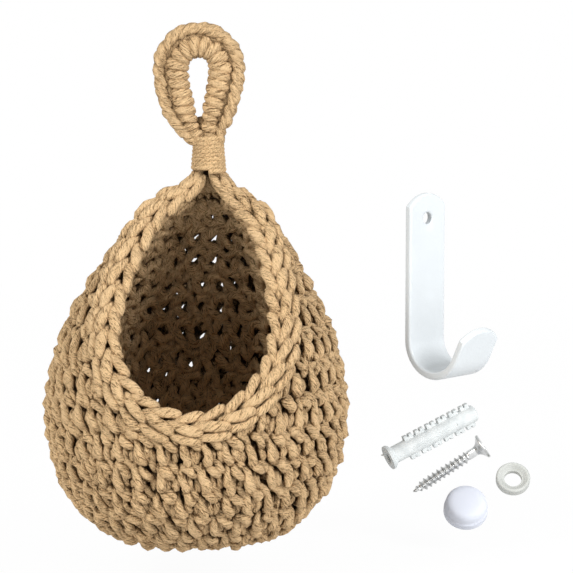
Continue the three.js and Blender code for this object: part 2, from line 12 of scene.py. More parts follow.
import bpy
import numpy as np
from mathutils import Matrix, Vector


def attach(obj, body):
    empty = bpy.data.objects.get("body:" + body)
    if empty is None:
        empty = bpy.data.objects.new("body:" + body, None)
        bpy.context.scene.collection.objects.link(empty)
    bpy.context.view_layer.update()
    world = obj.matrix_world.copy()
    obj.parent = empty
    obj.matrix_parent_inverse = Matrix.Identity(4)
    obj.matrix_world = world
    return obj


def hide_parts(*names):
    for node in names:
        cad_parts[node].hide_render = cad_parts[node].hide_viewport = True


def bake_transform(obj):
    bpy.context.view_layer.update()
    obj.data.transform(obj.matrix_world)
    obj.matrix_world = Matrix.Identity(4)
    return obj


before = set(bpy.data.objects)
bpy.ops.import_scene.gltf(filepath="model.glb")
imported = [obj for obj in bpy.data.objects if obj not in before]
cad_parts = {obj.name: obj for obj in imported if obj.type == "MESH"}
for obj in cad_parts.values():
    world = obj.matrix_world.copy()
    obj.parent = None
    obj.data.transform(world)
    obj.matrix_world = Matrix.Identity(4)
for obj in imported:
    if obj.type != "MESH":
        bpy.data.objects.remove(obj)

MM = 0.001
TAU = 2 * math.pi
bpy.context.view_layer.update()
rng = np.random.default_rng(7)

# %% [markdown]
# ## Camera, light and floor
#
# The photograph is a catalogue picture: a long lens a little above the middle, white all round, soft light from
# both sides. The camera could be aimed by hand, but its numbers were found by laying the CAD outline over the
# picture. The ground is painted white only where the camera looks, straight or by way of gloss or clear plastic,
# so it adds no light to the object.

# %% Camera
IMAGE_SIDE = 573
PIXELS_PER_MM = 2.0
CAMERA_DISTANCE = 1300.0
CAMERA_ELEVATION = math.radians(8)
CAMERA_AIM = np.array([43.25, 0.0, -113.75])
SENSOR = 36.0


def add_object(name, data):
    """New object of the scene, at the origin."""
    made = bpy.data.objects.new(name, data)
    bpy.context.scene.collection.objects.link(made)
    return made


camera_data = bpy.data.cameras.new("photo_camera")
camera_data.sensor_width = SENSOR
camera_data.lens = SENSOR * CAMERA_DISTANCE * PIXELS_PER_MM / IMAGE_SIDE
camera_data.clip_start, camera_data.clip_end = 0.05, 20
camera = add_object("photo_camera", camera_data)
away = np.array([0, -math.cos(CAMERA_ELEVATION), math.sin(CAMERA_ELEVATION)])
camera.location = (CAMERA_AIM + CAMERA_DISTANCE * away) * MM
camera.rotation_euler = Vector(-away).to_track_quat("-Z", "Y").to_euler()
bpy.context.scene.camera = camera
bpy.context.scene.view_settings.view_transform = "Standard"
print("lens in mm", round(camera_data.lens, 2))


# %% Helpers for node materials
def new_material(name):
    """Empty node material with a Principled shader joined to its output."""
    material = bpy.data.materials.new(name)
    material.use_nodes = True
    tree = material.node_tree
    tree.nodes.clear()
    shader, output = tree.nodes.new("ShaderNodeBsdfPrincipled"), tree.nodes.new("ShaderNodeOutputMaterial")
    tree.links.new(shader.outputs[0], output.inputs["Surface"])
    return material, tree, shader, output


def fill(tree, made, **values):
    """Joins each socket to the input of its name and sets each number there. Other names are the node's own."""
    for name, value in values.items():
        label = name.replace("_", " ")
        if isinstance(value, bpy.types.NodeSocket):
            tree.links.new(value, made.inputs[label])
        elif hasattr(made, name):
            setattr(made, name, value)
        else:
            made.inputs[label].default_value = value
    return made


def node(tree, kind, **values):
    """Adds a shader node and fills in its values."""
    return fill(tree, tree.nodes.new("ShaderNode" + kind), **values)


def sums(tree, operation, *values):
    """Math node on two or three inputs, each a socket or a plain number."""
    made = node(tree, "Math", operation=operation)
    for slot, value in zip(made.inputs, values):
        if isinstance(value, (int, float)):
            slot.default_value = value
        else:
            tree.links.new(value, slot)
    return made.outputs[0]


def colour_ramp(tree, factor, stops):
    """Colours at places from 0 to 1 along a factor."""
    ramp = tree.nodes.new("ShaderNodeValToRGB")
    points = ramp.color_ramp.elements
    for point, (place, colour) in ((points[0], stops[0]), (points[-1], stops[-1])):
        point.position, point.color = place, colour
    for place, colour in stops[1:-1]:
        points.new(place).color = colour
    tree.links.new(factor, ramp.inputs[0])
    return ramp.outputs[0]


def cloudy(tree, scale, detail=2.0, roughness=0.5):
    """Noise on the piece's own coordinates, with so many waves to the metre."""
    place = tree.nodes.new("ShaderNodeTexCoord").outputs["Object"]
    return node(tree, "TexNoise", Vector=place, Scale=scale, Detail=detail, Roughness=roughness).outputs[0]


def cord_map(tree):
    """The two numbers of the map named cord: running length and share of the way round."""
    split = node(tree, "SeparateXYZ", Vector=node(tree, "UVMap", uv_map="cord").outputs[0])
    return split.outputs[0], split.outputs[1]


# %% World, lamps and floor
WORLD_STRENGTH = 0.5
FLOOR_Z, FLOOR_REACH, PLAIN_RADIUS = -0.262, 3.0, 1.1       # metres
SHADOW_SHARE = 0.05             # how much of the floor's own shade is kept at its middle


def white_when_seen(tree, plain, white, output, share=None):
    """Shows plain, but white, by a share, to the rays of the camera, of gloss and of clear plastic."""
    path = tree.nodes.new("ShaderNodeLightPath")
    seen = sums(tree, "MAXIMUM", path.outputs["Is Camera Ray"], path.outputs["Is Glossy Ray"])
    seen = sums(tree, "MAXIMUM", seen, path.outputs["Is Transmission Ray"])
    if share is not None:
        seen = sums(tree, "MULTIPLY", seen, share)
    mix = tree.nodes.new("ShaderNodeMixShader")
    for socket, value in zip(mix.inputs, (seen, plain.outputs[0], white.outputs[0])):
        tree.links.new(value, socket)
    fill(tree, output, Surface=mix.outputs[0])


world = bpy.data.worlds.new("soft_room")
bpy.context.scene.world = world
world.use_nodes = True
sky = world.node_tree
sky.nodes.clear()
white_when_seen(sky, node(sky, "Background", Color=(0.96, 0.98, 1.0, 1), Strength=WORLD_STRENGTH),
                node(sky, "Background", Color=(1, 1, 1, 1), Strength=1.0), sky.nodes.new("ShaderNodeOutputWorld"))


def softbox(name, place, aim, side, watts, colour):
    """Square lamp at a place, turned to an aim."""
    data = bpy.data.lights.new(name, "AREA")
    data.shape, data.size, data.energy, data.color = "SQUARE", side, watts, colour
    lamp = add_object(name, data)
    lamp.location = place
    lamp.rotation_euler = (Vector(aim) - Vector(place)).to_track_quat("-Z", "Y").to_euler()


softbox("key_lamp", (-1.0, -1.05, 0.85), (0, 0, -0.12), 0.5, 24.5, (1.0, 0.985, 0.96))
softbox("fill_lamp", (1.1, -0.95, 0.6), (0.05, 0, -0.15), 0.6, 23.0, (0.99, 0.99, 1.0))

floor_mesh = bpy.data.meshes.new("studio_floor")
floor_mesh.from_pydata([(x * FLOOR_REACH, y * FLOOR_REACH, FLOOR_Z) for x, y in ((-1, -1), (1, -1), (1, 1), (-1, 1))],
                       [], [(0, 1, 2, 3)])
floor = add_object("studio_floor", floor_mesh)
pale, tree, shader, output = new_material("pale_floor")
fill(tree, shader, Base_Color=(0.86, 0.86, 0.86, 1), Roughness=0.9)
far = node(tree, "VectorMath", operation="LENGTH", Vector=tree.nodes.new("ShaderNodeTexCoord").outputs["Object"])
near = sums(tree, "MINIMUM", sums(tree, "MULTIPLY", far.outputs["Value"], 1 / PLAIN_RADIUS), 1.0)
white_when_seen(tree, shader, node(tree, "Emission", Color=(1, 1, 1, 1), Strength=1.0), output,
                sums(tree, "MULTIPLY_ADD", near, SHADOW_SHARE, 1 - SHADOW_SHARE))
floor_mesh.materials.append(pale)
print("floor at", FLOOR_Z)

# %% [markdown]
# ## Cords as swept circles
#
# Everything soft here is cord. A cord could be a Blender curve with a bevel, but a mesh worked out with numpy keeps
# its own map of length and angle, which the twisted plies need. A path is a list of points, a smooth curve runs
# through them, and a circle is carried along it. The circle must not wring where the path turns, so its frame is
# turned back by the running total of its own twist.


# %% Curves and frames
def unit(vectors):
    """Vectors brought to length one."""
    return vectors / np.maximum(np.linalg.norm(vectors, axis=-1, keepdims=True), 1e-9)


def eased(x, low, high):
    """Smooth rise from 0 at low to 1 at high."""
    t = np.clip((x - low) / (high - low), 0, 1)
    return t * t * (3 - 2 * t)


def smooth_path(points, count):
    """Curve through the points: cubics whose slopes come from neighbours weighed by the root of their distance."""
    p = np.asarray(points, float)
    p = np.concatenate([2 * p[:1] - p[1:2], p, 2 * p[-1:] - p[-2:-1]])
    gap = np.maximum(np.linalg.norm(np.diff(p, axis=0), axis=1), 1e-6) ** 0.5
    t = np.linspace(0, len(p) - 3, count)
    i = np.minimum(t.astype(int), len(p) - 4)
    f = (t - i)[:, None]
    a, b, c, d = p[i], p[i + 1], p[i + 2], p[i + 3]
    g0, g1, g2 = gap[i][:, None], gap[i + 1][:, None], gap[i + 2][:, None]
    leave = ((b - a) / g0 - (c - a) / (g0 + g1) + (c - b) / g1) * g1
    arrive = ((c - b) / g1 - (d - b) / (g1 + g2) + (d - c) / g2) * g1
    return (b + leave * f + (3 * (c - b) - 2 * leave - arrive) * f ** 2
            + (2 * (b - c) + leave + arrive) * f ** 3)


def lengths(path):
    """Running length along a path."""
    return np.concatenate([[0], np.cumsum(np.linalg.norm(np.diff(path, axis=0), axis=1))])


def read_at(where, run, rows):
    """Each column of a table of rows, read at places along its run."""
    return np.stack([np.interp(where, run, column) for column in rows.T], -1)


def even_path(path, count):
    """The same path with its points at even distances."""
    run = lengths(path)
    return read_at(np.linspace(0, run[-1], count), run, path)


def level_frames(path):
    """Two directions square to the path at each point, carried along it without wringing.

    Each starts from the axis furthest from the heading. The smallest turn that takes one heading to the next
    shows how far the next pair has twisted, and the running sum of those twists is taken out again."""
    heading = unit(np.gradient(path, axis=0))
    axis = np.eye(3)[np.argmin(np.abs(heading), axis=1)]
    side = unit(np.cross(heading, axis))
    other = np.cross(heading, side)
    h0, h1, s0 = heading[:-1], heading[1:], side[:-1]
    turn = np.cross(h0, h1)
    cosine = (h0 * h1).sum(1, keepdims=True)
    carried = s0 * cosine + np.cross(turn, s0) + turn * (turn * s0).sum(1, keepdims=True) / (1 + cosine + 1e-9)
    twist = np.arctan2((carried * other[1:]).sum(1), (carried * side[1:]).sum(1))
    total = np.concatenate([[0], np.cumsum(twist)])[:, None]
    first = side * np.cos(total) + other * np.sin(total)
    return first, np.cross(heading, first)


CORD_WIDTH = 4.4                # of the worked cord in mm; the cord's map counts its length in these


def cord(path, radius, sides=8, width=CORD_WIDTH, grain=0.05):
    """Cord surface: point(step, angle) = path(step) + radius(step) * (first * cos(angle) + second * sin(angle)).

    Each radius is a little uneven, by the share grain. The running length, in widths, comes with the points."""
    first, second = level_frames(path)
    angle = TAU * np.arange(sides) / sides
    ring = np.cos(angle)[None, :, None] * first[:, None] + np.sin(angle)[None, :, None] * second[:, None]
    uneven = 1 + grain * rng.normal(0, 1, (len(path), sides, 1))
    ring = ring * np.broadcast_to(radius, len(path))[:, None, None] * uneven
    return path[:, None] + ring, lengths(path) / width


# %% Meshes from grids
def grid_faces(points, run, joined=False):
    """Four-sided faces over a grid whose sides close round, with a face over each open end, and their map.

    The volume between the faces and their middle is over 0 where the grid points out; if it isn't, the sides run
    back."""
    steps, sides = points.shape[:2]
    local = points - points.mean((0, 1))
    following = np.roll(local, -1, axis=1)
    if (local[:-1] * np.cross(following[:-1], following[1:])).sum() < 0:
        points = points[:, ::-1]
        run = run[:, ::-1] if run.ndim == 2 else run
    index = np.arange(steps * sides).reshape(steps, sides)
    u = run if run.ndim == 2 else np.broadcast_to(run[:, None], (steps, sides))
    v = np.broadcast_to(np.arange(sides) / sides, (steps, sides))
    if joined:
        index = np.concatenate([index, index[:1]])
        u, v = np.concatenate([u, u[-1:]]), np.concatenate([v, v[-1:]])
    beside, u_beside = np.roll(index, -1, axis=1), np.roll(u, -1, axis=1)
    quads = np.stack([index[:-1], beside[:-1], beside[1:], index[1:]], -1).reshape(-1, 4)
    here, there = np.stack([u, v], -1), np.stack([u_beside, v + 1 / sides], -1)
    quad_map = np.stack([here[:-1], there[:-1], there[1:], here[1:]], 2)
    caps = [] if joined else [index[0][::-1].tolist(), index[-1].tolist()]
    return points.reshape(-1, 3), quads, caps, quad_map.reshape(-1, 2)


def triangles(mesh):
    """How many triangles a mesh's faces come to: each face's corners less two."""
    return sum(len(face.vertices) - 2 for face in mesh.polygons)


def make_piece(name, grids, material, body=None, stands_for=(), sharp=None, joined=False):
    """Joins grids of points into one closed mesh in its own place.

    A grid is (points[step, side], run[step]). The map named cord holds the running length in cord widths and the
    share of the way round. The number named proud is 1 in the open and less in a hollow; the cotton paints shade by
    it."""
    places, quads, caps, maps, start = [], [], [], [], 0
    for points, run in grids:
        place, faces, ends, face_map = grid_faces(points, run, joined)
        places.append(place)
        quads.append(faces + start)
        caps += [[corner + start for corner in end] for end in ends]
        maps.append(face_map)
        start += len(place)
    mesh = bpy.data.meshes.new(name)
    mesh.from_pydata((np.concatenate(places) * MM).tolist(), [], np.concatenate(quads).tolist() + caps)
    mesh.attributes.new("proud", "FLOAT", "POINT").data.foreach_set("value", np.ones(start, np.float32))
    cap_map = np.zeros((sum(len(end) for end in caps), 2))
    layer = mesh.uv_layers.new(name="cord")
    layer.data.foreach_set("uv", np.concatenate(maps + [cap_map]).astype(np.float32).ravel())
    mesh.polygons.foreach_set("use_smooth", np.ones(len(mesh.polygons), bool))
    if sharp is not None:
        mesh.set_sharp_from_angle(angle=math.radians(sharp))
    mesh.materials.append(material)
    made = add_object(name, mesh)
    if stands_for:
        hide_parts(*stands_for)
    if body:
        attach(made, body)
    print(name, "triangles", triangles(mesh))
    return made


def bare(grid):
    """A grid with no running length."""
    return grid, np.zeros(len(grid))


# %% [markdown]
# ## Cotton cord
#
# The cord is matt twisted cotton in a light tan: small strands lie side by side and turn round the cord, with fine
# fibres along them. A picture could be wrapped round it, but a pattern from the cord's own map follows every bend.
# The angle round the cord is sheared by the length, and a noise drawn out along that helix gives the strands.


# %% Cotton material
COTTON_TONES = ((0.16, (0.057, 0.031, 0.013)), (0.42, (0.25, 0.143, 0.058)), (0.58, (0.70, 0.47, 0.245)),
                (0.84, (0.88, 0.635, 0.365)))
BRIGHTEST = 0.96


def helix_noise(tree, phase, along, width, stretch, **values):
    """Noise that turns with the twist, read at (width * cos(phase), width * sin(phase), stretch * length)."""
    x, y = [sums(tree, "MULTIPLY", sums(tree, wave, phase, 0), width) for wave in ("COSINE", "SINE")]
    place = node(tree, "CombineXYZ", X=x, Y=y, Z=sums(tree, "MULTIPLY", along, stretch))
    return node(tree, "TexNoise", Vector=place.outputs[0], **values).outputs[0]


def cotton(name, strands, lay, ply=0.35, ends=1.0, shade=1.0, hollow=0.46):
    """Twisted cotton. phase = angle + length / lay; strands are ridges of cos(strands * phase), as strong as ply, and
    split ends are short dark dashes along them. A point that isn't proud is darker, by hollow at most: painted shade."""
    material, tree, shader, _ = new_material(name)
    along, round_ = cord_map(tree)
    phase = sums(tree, "MULTIPLY", sums(tree, "MULTIPLY_ADD", along, 1 / lay, round_), TAU)
    ridge = sums(tree, "COSINE", sums(tree, "MULTIPLY", phase, float(strands)), 0)
    fibre = helix_noise(tree, phase, along, 2.2, 0.16, Scale=2.6, Detail=3.0, Roughness=0.65)
    split_ends = helix_noise(tree, phase, along, 2.6, 1.1, Scale=1.7, Detail=1.0, Roughness=0.5)
    patch, fuzz = cloudy(tree, 55.0), cloudy(tree, 1500.0, roughness=0.6)
    dash = node(tree, "MapRange", interpolation_type="SMOOTHSTEP", Value=split_ends, From_Min=0.34, From_Max=0.46)
    height, tone = fibre, sums(tree, "MULTIPLY", fibre, 0.45)
    for part, high, light in ((ridge, ply * 0.22, ply * 0.08), (patch, 0.0, 0.2), (fuzz, 1.0, 0.5),
                              (dash.outputs[0], 0.5 * ends, 0.18 * ends)):
        height = sums(tree, "MULTIPLY_ADD", part, high, height)
        tone = sums(tree, "MULTIPLY_ADD", part, light, tone)
    tone = sums(tree, "SUBTRACT", tone, 0.13 * ends)
    # Painted shade: the colour darkens where the cotton lies in a hollow, as proud falls below 1.
    standing = node(tree, "Attribute", attribute_name="proud").outputs["Fac"]
    tone = sums(tree, "ADD", tone, sums(tree, "MULTIPLY_ADD", standing, hollow, -hollow))
    stops = [(place, (*[min(c * shade, BRIGHTEST) for c in colour], 1)) for place, colour in COTTON_TONES]
    bump = node(tree, "Bump", Height=height, Strength=1.0, Distance=0.0014)
    fill(tree, shader, Base_Color=colour_ramp(tree, tone, stops), Specular_IOR_Level=0.22, Normal=bump.outputs[0],
         Roughness=sums(tree, "MULTIPLY_ADD", fibre, 0.14, 0.82))
    return material


# Painted light: the basket's copy of the cord is made 6 % lighter than the loop's, in place of more lamp light.
basket_cotton = cotton("cotton_basket", strands=8, lay=3.6, shade=1.06)
loop_cotton = cotton("cotton_loop", strands=8, lay=3.6, hollow=0.24)
binding_cotton = cotton("cotton_binding", strands=5, lay=4.5, ply=0.5, ends=0.2, shade=1.16)

# %% [markdown]
# ## The basket's shape
#
# Cut level, the basket is a circle at every height; seen from the side its outline swells like a drop. So one list
# of radii by height gives the whole body, as it does in the CAD, and the circles' middles slide over to the neck.
# The crochet lies on a surface of three numbers: the angle round the basket, the length along its side from the
# middle of the base, and the depth in or out of the cloth. Stitches drawn flat in those numbers wrap the basket.

# %% Sizes shared with the CAD
WIDTH, HEIGHT = 149.0, 172.7
TOP_Z = -65.0
BASE_Z = TOP_Z - HEIGHT
BELT_Z = BASE_Z + 0.376 * HEIGHT
MIDDLE_X, MIDDLE_Y, NECK_X = -2.0, -6.4, 4.0
RADIUS_SHARES = np.array([[0, 0.53], [0.05, 0.7], [0.12, 0.845], [0.22, 0.95], [0.36, 1], [0.5, 0.96],
                          [0.62, 0.868], [0.74, 0.715], [0.86, 0.54], [0.95, 0.36], [1, 0.2]])
RIM_TILT = math.radians(35)
RIM_Z = TOP_Z + 2.0
RIM_NORMAL = np.array([0, -math.cos(RIM_TILT), math.sin(RIM_TILT)])


def pod_radius(z):
    """Outer radius at a height: a cubic through the table's shares, each slope taken from the two neighbours."""
    share = np.clip((np.asarray(z, float) - BASE_Z) / HEIGHT, 0, 1)
    x, y = RADIUS_SHARES.T
    before, after = np.maximum(np.arange(len(x)) - 1, 0), np.minimum(np.arange(len(x)) + 1, len(x) - 1)
    slope = (y[after] - y[before]) / (x[after] - x[before])
    i = np.clip(np.searchsorted(x, share) - 1, 0, len(x) - 2)
    span = x[i + 1] - x[i]
    t = (share - x[i]) / span
    blend = t * t * (3 - 2 * t)
    return WIDTH / 2 * (y[i] + (y[i + 1] - y[i]) * blend
                        + span * (slope[i] * t * (1 - t) ** 2 + slope[i + 1] * t * t * (t - 1)))


def pod_middle(z):
    """Middle of the level circle at a height, drawn over to the neck above the belt."""
    lean = np.clip((np.asarray(z, float) - BELT_Z) / (TOP_Z - BELT_Z), 0, 1) ** 2
    return MIDDLE_X + (NECK_X - MIDDLE_X) * lean, MIDDLE_Y * (1 - lean)


def at_angle(x, y, radius, angle, z):
    """Point (x + radius * sin(angle), y - radius * cos(angle), z): the angle counts from the front."""
    return np.stack([x + radius * np.sin(angle), y - radius * np.cos(angle), z], -1)


def rim_plane_y(z):
    """Depth of the opening's plane at a height."""
    return math.tan(RIM_TILT) * (np.asarray(z, float) - RIM_Z)


# Side of the basket as (radius, height), from the middle of the base to the neck, in the middle of the cloth
SIDE_STEP, SOFTENED = 0.5, 19    # mm between points, and how many of them each is averaged with
wall_z = np.linspace(BASE_Z, TOP_Z, 900)
wall = np.stack([pod_radius(wall_z), wall_z], 1)
outline = np.concatenate([np.stack([np.linspace(0, wall[0, 0], 120), np.full(120, BASE_Z)], 1), wall[1:]])
outline_run = lengths(outline)
outline = read_at(np.arange(0, outline_run[-1], SIDE_STEP), outline_run, outline)
kernel = np.hanning(SOFTENED) / np.hanning(SOFTENED).sum()
spare = SOFTENED // 2
padded = np.concatenate([outline[spare:0:-1] * [-1, 1], outline, 2 * outline[-1] - outline[-2:-2 - spare:-1]])
outline = np.stack([np.convolve(column, kernel, "valid") for column in padded.T], 1)
slope = unit(np.gradient(outline, axis=0))
outward = np.stack([slope[:, 1], -slope[:, 0]], 1)
CLOTH_DEPTH = 4.6
cloth = outline - CLOTH_DEPTH * outward
cloth_run = lengths(cloth)
print("length up the side of the cloth in mm", round(cloth_run[-1], 1))


def cloth_point(angle, up, depth):
    """Point of the cloth: angle from the front, length up the side, and depth outward from its middle."""
    r, z = np.moveaxis(read_at(up, cloth_run, cloth) + depth[..., None] * read_at(up, cloth_run, outward), -1, 0)
    return at_angle(*pod_middle(z), r, angle, z)


def opening_angle(up):
    """Angle from the front at which the cloth meets the opening's plane, or 0 below the lip."""
    r, z = read_at(up, cloth_run, cloth)
    reach = (pod_middle(z)[1] - rim_plane_y(z)) / max(r, 1e-6)
    return float(np.arccos(np.clip(reach, -1, 1)))


# %% [markdown]
# ## One stitch
#
# Seen from outside, each stitch is a bold bar that leans to the left as it climbs, a rounded wedge at its upper
# right, and two thin legs that meet under the wedge; the cord then crosses behind. One unbroken path through every
# stitch would be the real thing, but its turns under the surface can't be seen and make the shape hard to steer.
# So each strand that shows is a short cord of its own, with its ends run in under its neighbours. All the strands
# of one kind in a row are shaped together, and each is moved a little at random, as handwork is.

# %% Strands of one stitch
STITCH_WIDTH, ROUND_HEIGHT, ROW_HEIGHT = 10.3, 14.0, 14.8
# Each place of a strand: width and height in stitches, depth and cord radius in mm
BAR = np.array([[0.02, 1.02, -0.6, 1.2], [0.05, 0.90, 1.4, 1.6], [0.11, 0.70, 2.9, 2.0], [0.18, 0.46, 4.1, 2.3],
                [0.26, 0.22, 4.6, 2.4], [0.32, 0.05, 3.4, 2.1], [0.36, -0.05, 1.2, 1.6]])
CUP = np.array([[0.22, 0.96, -0.2, 1.4], [0.36, 0.92, 2.5, 2.0], [0.55, 0.82, 4.0, 2.35], [0.74, 0.67, 3.7, 2.2],
                [0.88, 0.50, 1.2, 1.5]])
LIP = np.array([[0.42, 1.12, -0.2, 1.4], [0.62, 1.06, 1.8, 1.8], [0.80, 0.93, 2.8, 2.0], [0.94, 0.75, 2.2, 1.8],
                [1.04, 0.58, 0.4, 1.5]])
LEFT_LEG = np.array([[0.57, 0.62, -0.2, 1.5], [0.50, 0.44, 1.8, 1.9], [0.50, 0.20, 2.2, 1.95],
                     [0.60, -0.06, 1.0, 1.6]])
RIGHT_LEG = np.array([[0.76, 0.56, -0.2, 1.5], [0.84, 0.38, 1.8, 1.9], [0.83, 0.16, 2.1, 1.9],
                      [0.72, -0.08, 0.8, 1.6]])
INNER_LOW = np.array([[-0.16, -0.08, -2.2, 1.8], [0.04, 0.26, -3.4, 2.2], [0.30, 0.50, -4.1, 2.5],
                      [0.60, 0.42, -4.1, 2.5], [0.86, 0.12, -3.4, 2.2], [1.00, -0.12, -2.2, 1.8]])
INNER_HIGH = np.array([[-0.10, 1.06, -2.2, 1.8], [0.12, 0.74, -3.3, 2.2], [0.42, 0.56, -3.7, 2.4],
                       [0.72, 0.72, -4.1, 2.6], [0.94, 0.96, -3.2, 2.2], [1.08, 1.14, -2.0, 1.8]])
INNER_POST = np.array([[0.10, 1.08, -1.4, 1.8], [0.06, 0.76, -2.2, 2.2], [0.12, 0.40, -2.0, 2.2],
                       [0.36, -0.04, -1.6, 2.0]])
INNER_KNOT = np.array([[0.26, 1.30, -1.6, 1.6], [0.40, 1.06, -3.0, 2.2], [0.54, 0.80, -3.3, 2.2],
                       [0.66, 0.52, -2.4, 1.8]])
# Each kind with its steps and sides
STRANDS = ((BAR, 12, 8), (CUP, 11, 8), (LIP, 10, 7), (LEFT_LEG, 8, 6), (RIGHT_LEG, 8, 6), (INNER_LOW, 9, 6),
           (INNER_HIGH, 9, 6), (INNER_POST, 7, 6), (INNER_KNOT, 7, 6))
# How far each place strays, in the units of the strands, and then each whole strand
SEEN_WANDER, HIDDEN_WANDER, SWAY = [0.045, 0.032, 0.4, 0.14], [0.08, 0.09, 0.45, 0.18], [0.045, 0.04, 0.3, 0.12]
HIDDEN_DEPTH = -1.5             # strands whose mean depth is under this lie inside
FLATNESS, ROUND_END, UNEVEN = (0.9, 1.04), 0.11, 0.07   # depth and width, share at each end, roughness of the skin


def spread(places, steps, count, wander, sway):
    """Places along each of count like strands: place(strand, step) = sum of weight(step, item) * item, moved on by
    the strand's number. The steps close up toward both ends. wander moves each item and sway each strand."""
    even = np.arange(steps) / (steps - 1)
    at = 0.45 * (1 - np.cos(math.pi * even)) / 2 + 0.55 * even
    weights = smooth_path(np.eye(len(places)), 401)[np.round(400 * at).astype(int)]
    moved = places + np.arange(count)[:, None, None] * [1, 0, 0, 0]
    moved = moved + rng.normal(0, 1, moved.shape) * wander + rng.normal(0, 1, (count, 1, 4)) * sway
    return np.einsum("si,cid->csd", weights, moved), at


def strand_grids(path, out, radius, at, sides):
    """Cords over all paths[strand, step] at once, a little flat toward out, with ends rounded like a ball's."""
    heading = unit(np.gradient(path, axis=1))
    first = unit(out - (out * heading).sum(-1, keepdims=True) * heading)
    second = np.cross(heading, first)
    turn = TAU * np.arange(sides) / sides
    thick, wide = FLATNESS
    ring = thick * np.cos(turn)[:, None] * first[:, :, None] + wide * np.sin(turn)[:, None] * second[:, :, None]
    nearest = np.clip(np.minimum(at, 1 - at) / ROUND_END, 0, 1)
    ends = np.sqrt(np.maximum(1 - (1 - nearest) ** 2, 0.06))
    uneven = 1 + UNEVEN * rng.normal(0, 1, (*radius.shape, sides))
    points = path[:, :, None] + ring * ((radius * ends)[..., None] * uneven)[..., None]
    run = np.cumsum(np.linalg.norm(np.diff(path, axis=1, prepend=path[:, :1]), axis=2), 1)
    run = (run + rng.uniform(0, 60, (len(path), 1))) / CORD_WIDTH
    return [(points[k], run[k]) for k in range(len(path))]


def strands(places, steps, sides, low, high, middle, half, count):
    """Grids of one kind of strand, one in each stitch of a row between two lengths up the side. The row reaches the
    angle half(length up the side) to either side of its middle angle."""
    wander = HIDDEN_WANDER if places[:, 2].mean() < HIDDEN_DEPTH else SEEN_WANDER
    flat, at = spread(places, steps, count, wander, SWAY)
    up = low + (high - low) * flat[..., 1]
    begin, end = middle - half(up), middle + half(up)
    angle = begin + (end - begin) * flat[..., 0] / count
    path = cloth_point(angle, up, flat[..., 2])
    if high > lip_run + 1:
        ahead = ((path - [0, 0, RIM_Z]) * RIM_NORMAL).sum(-1, keepdims=True) + RIM_ROOM
        path = path - np.maximum(ahead, 0) * RIM_NORMAL
    out_r, out_z = np.moveaxis(read_at(up, cloth_run, outward), -1, 0)
    return strand_grids(path, at_angle(0, 0, out_r, angle, out_z), flat[..., 3], at, sides)


# %% Rounds of the bowl and rows of the back
RIM_INSET, RIM_ROOM = 5.5, 2.0  # mm from the outline to the plait's middle, and from the plait's plane to the rows
LIP_DROP, FLAT_POINTS = 4.0, 60 # mm from the plait down to the last round, and points that all lie in the base
LIP_Z = RIM_Z + (MIDDLE_Y - (WIDTH / 2 - RIM_INSET)) / math.tan(RIM_TILT)
lip_run = float(np.interp(LIP_Z - LIP_DROP, cloth[FLAT_POINTS:, 1], cloth_run[FLAT_POINTS:]))
rounds = int(round(lip_run / ROUND_HEIGHT))
rows = int(round((cloth_run[-1] - lip_run) / ROW_HEIGHT))
levels = np.concatenate([np.linspace(0, lip_run, rounds + 1), np.linspace(lip_run, cloth_run[-1], rows + 1)[1:]])
ROW_LEAN, BASE_ROUNDS = 0.45, 5  # stitches that each round is turned by, and how many rounds the base has
LOOSE = 9                       # middle stitches of each row that are loose enough to let daylight through
print("lip at", round(lip_run, 1), "rounds", rounds, "rows", rows)

base_grids, bowl_grids, back_grids, stitches = [], [], [], 0
for row, (low, high) in enumerate(zip(levels, levels[1:])):
    middle = (low + high) / 2
    radius = float(np.interp(middle, cloth_run, cloth[:, 0]))
    if row < rounds:
        count = max(int(round(TAU * radius / STITCH_WIDTH)), 5)
        centre, half = ROW_LEAN * (rounds - row) * TAU / count, lambda up: math.pi
        target, tight = base_grids if row < BASE_ROUNDS else bowl_grids, np.ones(count, bool)
    else:
        reach = math.pi - opening_angle(middle)
        count = max(int(round(2 * reach * radius / STITCH_WIDTH)), 2)
        slant = np.clip(opening_angle(high) - opening_angle(low), -reach / count, reach / count) / (high - low)
        centre, half = math.pi, lambda up: reach - slant * (up - middle)
        target, tight = back_grids, np.abs(np.arange(count) + 0.5 - count / 2) > LOOSE / 2
    for kind in STRANDS:
        made = strands(*kind, low, high, centre, half, count)
        target += [grid for grid, kept in zip(made, tight) if kept or kind[0] is not INNER_KNOT]
    stitches += count
print("stitches", stitches)


base_cloth = make_piece("crochet_base", base_grids, basket_cotton, "basket",
                        ("base_disc", "bowl_lower"))
bowl_cloth = make_piece("crochet_bowl", bowl_grids, basket_cotton, "basket", ("bowl_upper",))
back_cloth = make_piece("crochet_back", back_grids, basket_cotton, None,
                        ("side_lower", "side_upper", "top_wall"))

# %% [markdown]
# ## The plait round the opening
#
# The last round is a row of slip stitches: from above, a plait of V-shaped links, each coming up through the one
# before, and outside it the heads of the side stitches lie like a third cord. A twisted tube would give the width
# but not the links. Each leg of a link is one strand, thin where it comes up, full in the middle and thin again
# where it dives outward, and the same two strands follow one another all round. Smooth cords lie under them.

# %% Strands along any line
LEG_OUT = np.array([[-0.36, 0.3, -1.9, 1.3], [-0.12, 0.8, 0.3, 1.8], [0.22, 2.0, 1.9, 2.35], [0.60, 3.5, 2.1, 2.6],
                    [0.92, 4.3, 1.0, 2.3], [1.10, 4.5, -0.9, 1.6]])
LEG_IN = LEG_OUT * [1, -1, 1, 1] + [0.14, 0, 0, 0]
HEAD = np.array([[-0.10, 5.3, -2.1, 1.4], [0.16, 6.6, -0.9, 2.0], [0.50, 7.7, -0.6, 2.3], [0.82, 7.9, -1.3, 2.1],
                 [1.04, 7.0, -2.8, 1.5]])
PAST_END = 14.0                 # mm that a line goes on straight past its ends


